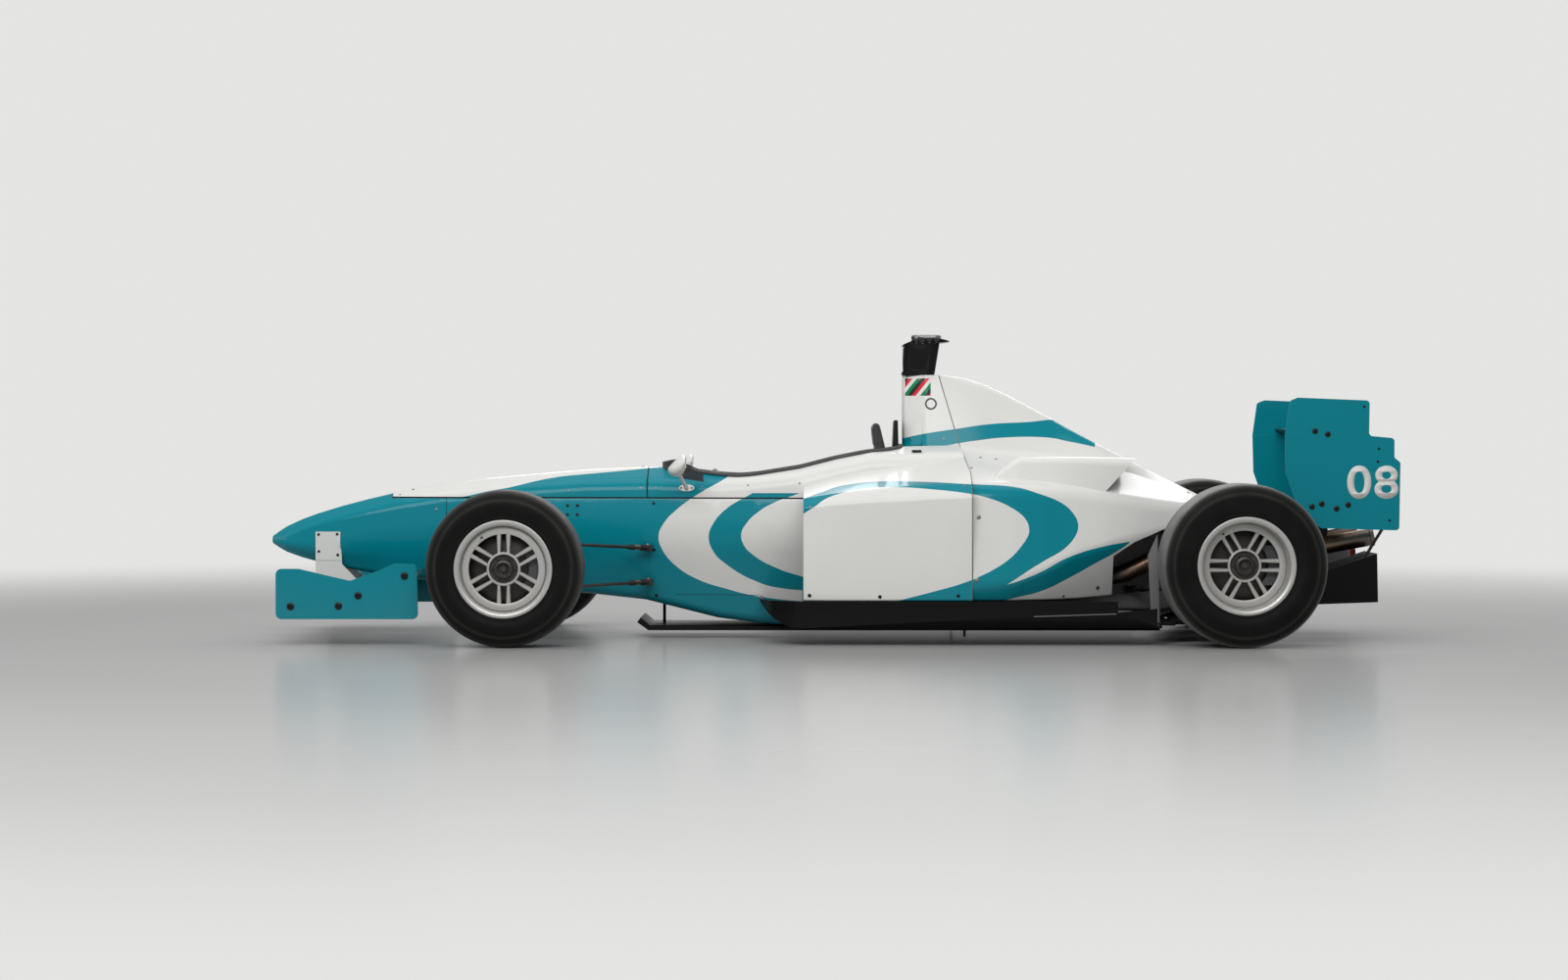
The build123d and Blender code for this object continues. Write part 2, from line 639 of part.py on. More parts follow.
def build_intake():
    """Air intake on the roll hoop: a tapered duct with its mouth to the front, a visor and a cap."""
    wires = []
    for z, front, rear, half_y in (
        (SPINE_TOP_Z, INTAKE_LOW_FRONT_X, INTAKE_LOW_REAR_X, INTAKE_LOW_Y),
        (INTAKE_TOP_Z, INTAKE_TOP_FRONT_X, INTAKE_TOP_REAR_X, INTAKE_TOP_Y),
    ):
        corners = [(rear, half_y), (front, half_y), (front, -half_y), (rear, -half_y)]
        wires.append(level(z, corners, [40, 24, 24, 40]))
    duct = Solid.make_loft(wires, True)
    crown = side_plate(
        [(VISOR_FRONT_X + 5, SPINE_TOP_Z - 5), (VISOR_REAR_X, SPINE_TOP_Z - 5), (VISOR_REAR_X, INTAKE_TOP_Z - 4),
         (VISOR_FRONT_X + 5, VISOR_FRONT_Z)], -FAR / 2, FAR)
    duct = duct & crown
    mouth = block(INTAKE_TOP_REAR_X + 30, INTAKE_LOW_FRONT_X + 30, -INTAKE_LOW_Y + INTAKE_WALL,
                  INTAKE_LOW_Y - INTAKE_WALL, SPINE_TOP_Z + 14, VISOR_FRONT_Z - 12)
    duct -= mouth
    top = ThreePointArc(
        (VISOR_FRONT_X, 0, VISOR_FRONT_Z), (-395, 0, VISOR_CROWN_Z), (VISOR_REAR_X, 0, VISOR_REAR_Z))
    low = ThreePointArc((VISOR_REAR_X, 0, VISOR_REAR_Z - 2), (-400, 0, VISOR_FRONT_Z + 3),
                        (VISOR_FRONT_X, 0, VISOR_FRONT_Z - 6))
    side = make_face([
        top.edge(), Edge.make_line(top @ 1, low @ 0), low.edge(), Edge.make_line(low @ 1, top @ 0),
    ]).face()
    visor = Pos(0, -VISOR_HALF_Y, 0) * Solid.extrude(side, Vector(0, 2 * VISOR_HALF_Y, 0))
    cap = block(CAP_REAR_X, CAP_FRONT_X, -CAP_HALF_Y, CAP_HALF_Y, VISOR_FRONT_Z + 10, CAP_TOP_Z)
    cap = fillet(cap.edges().filter_by(Axis.Z), CAP_HALF_Y * 0.6)
    cap = fillet(cap.faces().sort_by(Axis.Z)[-1].edges(), 7)
    return duct + visor + cap


def sidepod_loft(lip_gap, wall_gap):
    """The left sidepod's form, moved inwards by one gap at the inlet and another behind it."""
    wires = []
    for x, outer_y, outer_z, shoulder_y, shoulder_z, deck_z in smooth_rows(SIDEPOD, SIDEPOD_STEPS):
        points = [
            (SIDEPOD_ROOT_Y, SIDEPOD_LOW_Z), (outer_y, SIDEPOD_LOW_Z), (outer_y, outer_z),
            (shoulder_y, shoulder_z), (SIDEPOD_ROOT_Y, deck_z),
        ]
        wires.append(ring(x, points, SIDEPOD_RADII, lip_gap if not wires else wall_gap))
    return Solid.make_loft(wires, True)


def build_sidepods(outer):
    """Open ducts beside the tub, from the inlet back to the engine cover."""
    duct = sidepod_loft(0.0, 0.0) - sidepod_loft(SIDEPOD_LIP, SIDEPOD_WALL)
    return (duct & front_of_cover_joint()) - outer


def cover_shell(gap):
    """The engine cover's skin, moved inwards by gap."""
    wires = []
    for x, *row in smooth_rows(ENGINE_COVER, COVER_STEPS):
        half = list(zip(row[0::2], row[1::2]))
        wires.append(ring(x, flank(half), twice(COVER_RADII), gap))
    return Solid.make_loft(wires, True)


def outlet_shell(gap):
    """One hot air outlet's skin, moved inwards by gap."""
    wires = []
    for x, outer_y, outer_z, top_y, top_z in smooth_rows(OUTLET, OUTLET_STEPS):
        points = [(OUTLET_ROOT_Y, OUTLET_LOW_Z), (outer_y, OUTLET_LOW_Z), (outer_y, outer_z), (top_y, top_z),
                  (OUTLET_ROOT_Y, top_z)]
        wires.append(ring(x, points, OUTLET_RADII, gap))
    return Solid.make_loft(wires, True)


def build_engine_cover():
    """Rear bodywork: spine, shoulders and waisted tail, open below, with a hot air outlet on each shoulder."""
    outer = cover_shell(0.0)
    shell = outer - cover_shell(COVER_WALL)
    shell -= front_of_cover_joint()
    tail = [
        (FLOOR_SILL_END_X, 100), (FLOOR_SILL_END_X, 330), (-1180, 383), (-1335, 443), (-1440, 500),
        (-1500, 505), (-1500, 100),
    ]
    shell -= side_plate(tail, -FAR / 2, FAR)
    stations = smooth_rows(ENGINE_COVER, COVER_STEPS)
    half = [(x, row[0] - COVER_FLANGE) for x, *row in stations if row[1] <= ENGINE_COVER[-2][2]]
    outline = [(x, y, 100.0) for x, y in half] + [(x, -y, 100.0) for x, y in reversed(half)]
    shell -= Solid.extrude(make_face(Polyline(*outline, close=True)).face(), Vector(0, 0, 100))
    rear_cut = side_plate(
        [(OUTLET_TIP_X, 702), (OUTLET_FOOT_X, OUTLET_FOOT_Z), (OUTLET_FOOT_X, 300), (-1500, 300), (-1500, 702)],
        -FAR / 2, FAR)
    mouth = outlet_shell(COVER_WALL) & block(-FAR, OUTLET_DEPTH_X, -FAR, FAR, -FAR, FAR)
    outlet = outlet_shell(0.0) - rear_cut - mouth - outer
    return shell, max(solids_of(outlet), key=lambda s: s.volume)


def floor_bow():
    """The space under the turned up front of the floor, with its curved face."""
    front_x = FLOOR_TIP_X + 80
    curve = ThreePointArc((FLOOR_TIP_X, 0, SIDEPOD_LOW_Z - 4), (FLOOR_BOW_MID[0], 0, FLOOR_BOW_MID[1]),
                          (FLOOR_BOW_X, 0, FLOOR_Z))
    rest = Polyline((FLOOR_BOW_X, 0, FLOOR_Z), (FLOOR_BOW_X, 0, 0), (front_x, 0, 0),
                    (front_x, 0, SIDEPOD_LOW_Z - 4), (FLOOR_TIP_X, 0, SIDEPOD_LOW_Z - 4))
    side = make_face([curve.edge(), *rest.edges()]).face()
    return Pos(0, -FAR / 2, 0) * Solid.extrude(side, Vector(0, FAR, 0))


def build_floor(outer):
    """Floor tray: a flat sheet under the sidepods with upright sills, narrowed between the rear wheels."""
    half = [
        (FLOOR_TIP_X, 470), (FLOOR_TIP_X - 40, 600), (FLOOR_TIP_X - 150, FLOOR_HALF_Y),
        (FLOOR_END_X, FLOOR_HALF_Y), (FLOOR_END_X, FLOOR_NECK_Y), (FLOOR_REAR_X, FLOOR_NECK_Y),
    ]
    outline = half + [(x, -y) for x, y in reversed(half)]
    radii = [60, 60, 60, 20, 20, 6]
    rim = Face(level(FLOOR_Z, outline, radii + radii[::-1]))
    bow = floor_bow()
    tray = Solid.extrude(rim, Vector(0, 0, SIDEPOD_LOW_Z - FLOOR_Z)) - bow
    core = Pos(0, 0, FLOOR_SHEET) * offset(rim, -FLOOR_SHEET).face()
    tray -= Solid.extrude(core, Vector(0, 0, 300)) - Pos(-FLOOR_SHEET * 0.5, 0, FLOOR_SHEET) * bow
    tail = side_plate([(FLOOR_SILL_END_X, 200), (FLOOR_SILL_END_X, FLOOR_SILL_TAIL_Z),
                       (FLOOR_END_X + 20, FLOOR_SILL_TAIL_Z + 14), (FLOOR_END_X + 20, FLOOR_Z + FLOOR_SHEET),
                       (FLOOR_REAR_X - 10, FLOOR_Z + FLOOR_SHEET), (FLOOR_REAR_X - 10, 200)], -FAR / 2, FAR)
    tray -= tail
    pegs = [post(PEG_X, side * PEG_Y, PEG_LOW_Z, FLOOR_Z + FLOOR_SHEET, PEG_R) for side in (-1, 1)]
    return (tray + pegs) - outer


def build_plank(outer):
    """The skid plank under the car, with its turned up front lip and the stay up to the tub."""
    top = TUB_BOTTOM_Z
    outline = [
        (PLANK_REAR_X, PLANK_LOW_Z), (PLANK_BEND_X, PLANK_LOW_Z), (PLANK_FRONT_X, PLANK_LIP_Z - 18),
        (PLANK_FRONT_X - 14, PLANK_LIP_Z), (PLANK_BEND_X - 6, top), (PLANK_REAR_X, top),
    ]
    plank = side_plate(outline, -PLANK_HALF_Y, 2 * PLANK_HALF_Y)
    stay = post(STAY_X, 0, TUB_BOTTOM_Z - 5, 200, STAY_R) - outer
    return plank + min(solids_of(stay), key=lambda s: s.center().Z)


def build_diffuser():
    """Two rising tunnels between the rear wheels, each side of the gearbox, with upright fences."""
    drop = DIFFUSER_SHEET + 1
    roof = side_plate(
        [(FLOOR_REAR_X, DIFFUSER_START_Z), (DIFFUSER_END_X, DIFFUSER_END_Z),
         (DIFFUSER_END_X, DIFFUSER_END_Z - drop), (FLOOR_REAR_X, DIFFUSER_START_Z - drop)],
        DIFFUSER_KEEL_Y, DIFFUSER_HALF_Y - DIFFUSER_KEEL_Y)
    fence_outline = [
        (FLOOR_REAR_X, DIFFUSER_START_Z), (DIFFUSER_END_X, DIFFUSER_END_Z),
        (DIFFUSER_END_X - 4, DIFFUSER_FOOT_Z), (-1885, DIFFUSER_FOOT_Z - 8), (-1500, FLOOR_Z),
        (FLOOR_REAR_X, FLOOR_Z),
    ]
    tunnel = roof
    for y in (DIFFUSER_KEEL_Y, (DIFFUSER_KEEL_Y + DIFFUSER_HALF_Y) / 2, DIFFUSER_HALF_Y - DIFFUSER_SHEET):
        tunnel = tunnel + side_plate(fence_outline, y, DIFFUSER_SHEET)
    return both(tunnel)


def build_gearbox():
    """Bell housing, gearbox with its output bosses, crash box and the tow eye behind it."""
    wires = []
    for x, half_y, low_z, top_z in GEARBOX:
        half = [(half_y, low_z), (half_y, top_z)]
        wires.append(ring(x, flank(half), [16] * 4))
    case = Solid.make_loft(wires, True)
    case = case + disc_y(REAR_AXLE_X, REAR_TYRE_R, -OUTPUT_BOSS_Y, OUTPUT_BOSS_Y, OUTPUT_BOSS_R)
    for x0, x1, y0, y1, z0, z1 in GEARBOX_EARS:
        for side in (-1, 1):
            case = case + block(x0, x1, side * y0, side * y1, z0, z1)
    lug = disc_y(TOW_EYE_X, TOW_EYE_Z, -TOW_EYE_T / 2, TOW_EYE_T / 2, TOW_EYE_OUTER_R)
    lug = lug + block(TOW_EYE_X, TOW_EYE_X + TOW_EYE_SHANK, -TOW_EYE_T / 2, TOW_EYE_T / 2,
                      TOW_EYE_Z - TOW_EYE_HALF_H, TOW_EYE_Z + TOW_EYE_HALF_H)
    lug -= disc_y(TOW_EYE_X, TOW_EYE_Z, -TOW_EYE_T, TOW_EYE_T, TOW_EYE_R)
    return case + lug


def build_exhausts():
    """A pipe each side, from the engine's rear corner over the driveshaft to the tail."""
    corners = [Vector(*p) for p in EXHAUST_ROUTE]
    path = FilletPolyline(*corners, radius=EXHAUST_BENDS)
    start = Plane(origin=corners[0], z_dir=(corners[1] - corners[0]).normalized())
    tube = sweep(start * (Circle(EXHAUST_R) - Circle(EXHAUST_R - EXHAUST_WALL)), path=path)
    return tube


def aerofoil(le_x, le_z, te_x, te_z, sag, thick, y0, y1):
    """A wing element that pushes down: hollow above, full below, from y0 to y1."""
    lead, trail = Vector(le_x, y0, le_z), Vector(te_x, y0, te_z)
    way = (trail - lead).normalized()
    down = Vector(way.Z, 0, -way.X)
    if down.Z > 0:
        down = down * -1
    middle = (lead + trail) * 0.5
    nose = lead + down * thick * 0.35
    tail = trail + down * 2.0
    upper = Edge.make_three_point_arc(lead, middle + down * sag, trail)
    lower = Edge.make_three_point_arc(tail, middle + down * (sag + thick), nose)
    bow = Edge.make_three_point_arc(nose, (lead + nose) * 0.5 - way * thick * 0.3, lead)
    face = Face(Wire([upper, Edge.make_line(trail, tail), lower, bow]))
    return Solid.extrude(face, Vector(0, y1 - y0, 0))


def build_rear_wing(case, diffuser):
    """Plates, upper and lower elements, the mount on the crash box and the stays to the diffuser."""
    plate = side_plate(REAR_PLATE, REAR_PLATE_Y, REAR_PLATE_T, REAR_PLATE_R)
    planes = [aerofoil(*row, -REAR_PLATE_Y, REAR_PLATE_Y) for row in REAR_UPPER + REAR_LOWER]
    cheeks = side_plate(MOUNT, MOUNT_Y, MOUNT_T) - case
    for plane in planes:
        cheeks -= plane
    stay = rod(*REAR_STAY, REAR_STAY_R) - plate
    for solid in diffuser:
        stay -= solid
    stay = max(solids_of(stay), key=lambda s: s.volume)
    mount = both(max(solids_of(cheeks), key=lambda s: s.volume)) + both(stay)
    return both(plate), planes, mount


def build_front_wing(outer):
    """Plates, main plane, flaps, and the pylons that carry them under the nose."""
    plate = side_plate(FRONT_PLATE, FRONT_PLATE_Y, FRONT_PLATE_T, FRONT_PLATE_R)
    main = aerofoil(*FRONT_MAIN, -FRONT_PLATE_Y, FRONT_PLATE_Y)
    flap = aerofoil(*FRONT_FLAP, FLAP_ROOT_Y, FRONT_PLATE_Y)
    pylon = side_plate(PYLON, PYLON_Y, PYLON_T) - outer - main
    pylon = solids_of(pylon)
    keep = max(pylon, key=lambda s: s.volume)
    return both(plate), main, both(flap), both(keep)


def wheel_pieces(axle_x, tyre_r, tyre_w, dish, ball_y):
    """Left wheel: tyre, rim, and the brake disc with its hub and axle."""
    centre_y = HALF_WIDTH - tyre_w / 2
    half_w = tyre_w / 2
    half_rim = half_w - RIM_INSET
    mid = centre_y
    casing = [
        (half_rim - 8, BEAD_SEAT_R + SEAT_GAP), (half_rim - 8, RIM_LIP_R + 6), (half_w, 228),
        (half_w - 8, tyre_r - SHOULDER_DROP - 6), (half_w - TREAD_SETBACK, tyre_r),
    ]
    air = [
        (half_rim - 8 - TYRE_CASING, BEAD_SEAT_R - 10), (half_w - TYRE_CASING, 228),
        (half_w - TREAD_SETBACK - 6, tyre_r - TYRE_CASING),
    ]

    def across(half):
        return [(mid + y, r) for y, r in half] + [(mid - y, r) for y, r in reversed(half)]

    tyre = turned_y(axle_x, tyre_r, across(casing)) - turned_y(axle_x, tyre_r, across(air))

    face_y = mid + half_rim - dish
    hub_back = face_y - SPOKE_DEPTH - 8
    barrel = [
        (mid - half_rim, RIM_LIP_R), (mid - half_rim, RIM_LIP_R - 8), (mid - half_rim + 6, BARREL_R - RIM_WALL + 3),
        (mid - half_rim + 14, BARREL_R - RIM_WALL), (face_y - SPOKE_DEPTH, BARREL_R - RIM_WALL),
        (face_y - SPOKE_DEPTH, SPOKE_RING_R), (face_y, SPOKE_RING_R), (face_y, BARREL_R - 8),
        (mid + half_rim - 4, RIM_LIP_R - 14), (mid + half_rim, RIM_LIP_R - 10), (mid + half_rim, RIM_LIP_R),
        (mid + half_rim - RIM_WALL, RIM_LIP_R), (mid + half_rim - RIM_WALL - 2, BEAD_SEAT_R),
        (mid + half_rim - 40, BEAD_SEAT_R), (mid + half_rim - 52, BARREL_R), (mid - half_rim + 52, BARREL_R),
        (mid - half_rim + 40, BEAD_SEAT_R), (mid - half_rim + RIM_WALL + 2, BEAD_SEAT_R),
        (mid - half_rim + RIM_WALL, RIM_LIP_R),
    ]
    rim = turned_y(axle_x, tyre_r, barrel)
    hub = disc_y(axle_x, tyre_r, hub_back, face_y, RIM_HUB_R)
    hub -= disc_y(axle_x, tyre_r, face_y - HUB_RECESS, face_y + 1, HUB_RECESS_R)
    nut = disc_y(axle_x, tyre_r, face_y - HUB_RECESS, face_y - HUB_RECESS + NUT_LENGTH, NUT_R)
    nut = nut - disc_y(axle_x, tyre_r, face_y - HUB_RECESS + 8, face_y + NUT_LENGTH, NUT_R - 8)
    rim = rim + hub + nut
    spokes = []
    for i in range(SPOKE_PAIRS):
        for side in (-1, 1):
            bar = side_plate([(SPOKE_HUB_W / 2, RIM_HUB_R - 8), (SPOKE_RIM_W / 2, SPOKE_RING_R + 8),
                              (-SPOKE_RIM_W / 2, SPOKE_RING_R + 8), (-SPOKE_HUB_W / 2, RIM_HUB_R - 8)],
                             face_y - SPOKE_DEPTH, SPOKE_DEPTH)
            bar = Pos(side * SPOKE_PAIR_PITCH / 2, 0, 0) * bar
            spokes.append(Pos(axle_x, 0, tyre_r) * Rot(0, 360 / SPOKE_PAIRS * i, 0) * bar)
    rim = rim + spokes

    disc_out = hub_back - DISC_SETBACK + DISC_W
    disc_in = disc_out - DISC_W
    brake = disc_y(axle_x, tyre_r, disc_in, disc_out, DISC_R)
    brake = brake + disc_y(axle_x, tyre_r, disc_out, hub_back, DISC_BELL_R)
    inner_end = ball_y + UPRIGHT_BACK - 6
    brake = brake + disc_y(axle_x, tyre_r, inner_end, disc_in, AXLE_R)
    return tyre, rim.solid(), brake, disc_in, disc_out


def clevis(x, y, z, back_y):
    """Ears above and below a wishbone eye, with the pin through them."""
    half_eye = EYE_H / 2 + SEAT_GAP
    ears = block(x - 20, x + 20, y - 15, back_y, z - half_eye - EAR_H, z + half_eye + EAR_H)
    ears -= block(x - 60, x + 60, y - 60, back_y - 1, z - half_eye, z + half_eye)
    return ears + post(x, y, z - half_eye - EAR_H, z + half_eye + EAR_H, STEER_PIN_R)


def build_upright(axle_x, axle_z, ball_y, upper_z, lower_z, disc_in, disc_out):
    """Left upright: bearing housing, joint ears and brake caliper, all inside the rim's barrel."""
    plate_in = ball_y + UPRIGHT_BACK
    plate_out = plate_in + UPRIGHT_PLATE
    body = block(axle_x - 40, axle_x + 40, plate_in, plate_out, lower_z - 16, upper_z + 16)
    body = body + disc_y(axle_x, axle_z, plate_in - 10, plate_out + 8, BEARING_R)
    for z in (upper_z, lower_z):
        body = body + clevis(axle_x, ball_y, z, plate_in + 2)
    body -= disc_y(axle_x, axle_z, plate_in - 80, plate_out + 40, AXLE_R + SEAT_GAP)
    grip_in, grip_out = disc_in - CALIPER_GRIP, disc_out + CALIPER_GRIP
    caliper = disc_y(axle_x, axle_z, grip_in, grip_out, CALIPER_R) - disc_y(
        axle_x, axle_z, grip_in - 1, grip_out + 1, CALIPER_INNER_R)
    caliper = caliper & block(axle_x - 200, axle_x - 70, 0, FAR, axle_z - CALIPER_HALF_H,
                              axle_z + CALIPER_HALF_H)
    caliper -= disc_y(axle_x, axle_z, disc_in - CALIPER_CLEARANCE, disc_out + CALIPER_CLEARANCE,
                      DISC_R + CALIPER_CLEARANCE)
    arm = block(axle_x - 104, axle_x - 30, plate_out - 8, grip_in + 6, axle_z - CALIPER_ARM_HALF_H,
                axle_z + CALIPER_ARM_HALF_H)
    return body + caliper + arm


def build_front_upright(disc_in, disc_out):
    """The front upright, with its steering arm."""
    body = build_upright(FRONT_AXLE_X, FRONT_TYRE_R, KINGPIN_Y, UPPER_JOINT_Z, LOWER_JOINT_Z, disc_in, disc_out)
    top = TIE_ROD_Z - ROD_END_H / 2 - ROD_CLEARANCE
    plate_in = KINGPIN_Y + UPRIGHT_BACK
    arm = block(FRONT_AXLE_X + 30, FRONT_AXLE_X + STEERING_ARM_X + 16, plate_in - 46, plate_in + UPRIGHT_PLATE - 4,
                top - STEERING_ARM_H, top)
    return body + arm


def wishbone(ball, front_foot, rear_foot, outer_solids):
    """One wishbone: a front leg with the eye, and a rear leg against it. Feet end on what carries them."""
    x, y, z = ball
    eye = post(x, y, z - EYE_H / 2, z + EYE_H / 2, EYE_R)
    hole = post(x, y, z - EYE_H, z + EYE_H, STEER_PIN_R + SEAT_GAP)
    legs = []
    for i, foot in enumerate((front_foot, rear_foot)):
        leg = blade(ball, foot, LEG_CHORD, LEG_THICK)
        fx, fy, fz = foot
        leg = leg + block(fx - FOOT_HALF_X, fx + FOOT_HALF_X, fy - FOOT_IN_Y, fy + FOOT_OUT_Y, fz - FOOT_HALF_Z,
                          fz + FOOT_HALF_Z)
        leg = leg + eye if i == 0 else leg - eye
        leg -= hole
        for solid in outer_solids:
            leg -= solid
        legs.append(max(solids_of(leg), key=lambda s: s.volume))
    return [legs[0], max(solids_of(legs[1] - legs[0]), key=lambda s: s.volume)]


def build_front_suspension(outer):
    """Upper and lower wishbones and the pushrod of the left front corner."""
    ball_up = (FRONT_AXLE_X, KINGPIN_Y, UPPER_JOINT_Z)
    ball_low = (FRONT_AXLE_X, KINGPIN_Y, LOWER_JOINT_Z)
    pieces = wishbone(ball_up, *FRONT_UPPER_FEET, [outer])
    pieces += wishbone(ball_low, *FRONT_LOWER_FEET, [outer])
    low_end = (FRONT_AXLE_X + 22, KINGPIN_Y - 78, LOWER_JOINT_Z + 4)
    push = rod(low_end, (FRONT_AXLE_X - 30, 150, 540), PUSHROD_R) - outer
    for other in pieces:
        push -= other
    push = max(solids_of(push), key=lambda s: s.volume)
    return pieces + [push]


def build_rear_suspension(case):
    """Wishbones, toe link and pushrod of the left rear corner."""
    ball_up = (REAR_AXLE_X, REAR_BALL_Y, REAR_UPPER_Z)
    ball_low = (REAR_AXLE_X, REAR_BALL_Y, REAR_LOWER_Z)
    pieces = wishbone(ball_up, *REAR_UPPER_FEET, [case])
    pieces += wishbone(ball_low, *REAR_LOWER_FEET, [case])
    low_end = (REAR_AXLE_X + 40, REAR_BALL_Y - 50, REAR_LOWER_Z - 1)
    push = rod(low_end, (REAR_AXLE_X + 100, 80, 508), PUSHROD_R) - case
    for other in pieces:
        push -= other
    push = max(solids_of(push), key=lambda s: s.volume)
    plate_y = REAR_BALL_Y + UPRIGHT_BACK - SEAT_GAP
    toe = rod((REAR_AXLE_X - 30, plate_y + 10, REAR_LOWER_Z + 40), TOE_LINK_FOOT, TOE_LINK_R) - case
    toe &= block(-FAR, FAR, 0, plate_y, -FAR, FAR)
    toe = max(solids_of(toe), key=lambda s: s.volume)
    return pieces + [push, toe]


def build_steering_wheel():
    """Small wheel with a flat lower rim, three spokes, hub and column."""
    tilt = radians(COLUMN_TILT)
    ahead = Vector(cos(tilt), 0, -sin(tilt))
    centre = Vector(STEERING_WHEEL_X, 0, STEERING_WHEEL_Z)
    frame = Plane(origin=centre, x_dir=(0, 1, 0), z_dir=ahead)
    rim = Torus(STEERING_WHEEL_R, STEERING_GRIP_R)
    for angle in (0, 180, 270):
        rim = rim + Rot(0, 0, angle) * Pos(STEERING_WHEEL_R / 2, 0, 0) * Box(STEERING_WHEEL_R, 26, 7)
    rim = rim + Pos(0, 0, 0) * Cylinder(42, 16)
    length = (DASH_X - STEERING_WHEEL_X) / cos(tilt) + 40
    rim = rim + Pos(0, 0, length / 2) * Cylinder(COLUMN_R, length)
    return frame * rim, centre, ahead


def disc_x(x0, x1, z, radius):
    """A round boss along X on the centre line."""
    return Solid.make_cylinder(radius, x1 - x0, Plane(origin=(x0, 0, z), z_dir=(1, 0, 0)))


def build_cockpit():
    """Seat, headrest pad and panel, dash bulkhead."""
    snug = fuselage_skin(CAVITY_FRONT_X, BODY_WALL + SEAT_GAP)
    floor_z = TUB_BOTTOM_Z + BODY_WALL
    rear_x = TUB_REAR_X + BULKHEAD + SEAT_GAP
    base, sides = [
        side_plate([(rear_x, floor_z), (SEAT_FRONT_X, floor_z)] + top + [(rear_x, SEAT_TOP_Z)], -FAR / 2, FAR)
        for top in (SEAT_BASE, SEAT_SIDES)
    ]
    well = block(-FAR, FAR, -SEAT_WELL_Y, SEAT_WELL_Y, -FAR, FAR)
    seat = (base + (sides - well)) & snug
    seat = seat & block(-FAR, FAR, -FAR, FAR, -FAR, SEAM_Z)

    pad = side_plate(HEADREST_PAD, -HEADREST_Y, 2 * HEADREST_Y)
    panel = side_plate(HEADREST_PANEL, -HEADREST_PANEL_Y, 2 * HEADREST_PANEL_Y)

    drop = tan(radians(COLUMN_TILT))
    dash = snug & block(DASH_X, DASH_X + DASH_T, -FAR, FAR, DASH_LOW_Z, FAR)
    bearing_z = STEERING_WHEEL_Z - (DASH_X - STEERING_WHEEL_X) * drop
    far_x = DASH_X + 200
    bore = rod((STEERING_WHEEL_X, 0, STEERING_WHEEL_Z),
               (far_x, 0, STEERING_WHEEL_Z - (far_x - STEERING_WHEEL_X) * drop), COLUMN_R + SEAT_GAP)
    dash = dash + disc_x(DASH_X - DASH_BOSS, DASH_X + DASH_T + DASH_BOSS, bearing_z, DASH_BOSS_R)
    dash -= bore
    return seat, pad, panel, dash


def build_screen(outer):
    """The low tinted screen round the front of the cockpit."""
    outline = SCREEN_PLAN + [(x, -y) for x, y in reversed(SCREEN_PLAN)]
    outside = Face(level(560, outline, [2, 80, 90, 90, 80, 2]))
    inside = offset(outside, -SCREEN_T).face()
    band = Solid.extrude(outside, Vector(0, 0, 300)) - Solid.extrude(inside, Vector(0, 0, 300))
    band &= block(SCREEN_REAR_X, FAR, -FAR, FAR, -FAR, FAR)
    band = (band & side_plate(SCREEN_EDGE, -FAR / 2, FAR)) - outer
    return max(solids_of(band), key=lambda s: s.volume)


def build_mirror(outer):
    """Left mirror: pear shaped head on a thin stalk, with its foot on the surround."""
    wires = []
    for x, z, half_y, half_z in MIRROR_HEAD:
        points = [(MIRROR_Y + half_y, z - half_z), (MIRROR_Y + half_y, z + half_z),
                  (MIRROR_Y - half_y, z + half_z), (MIRROR_Y - half_y, z - half_z)]
        wires.append(ring(x, points, [half_z] * 4))
    head = Solid.make_loft(wires, True)
    carrier = (rod(*MIRROR_STALK, MIRROR_STALK_R) + rod(*MIRROR_FOOT, MIRROR_FOOT_R)) - outer
    return max(solids_of(head + carrier), key=lambda s: s.volume)


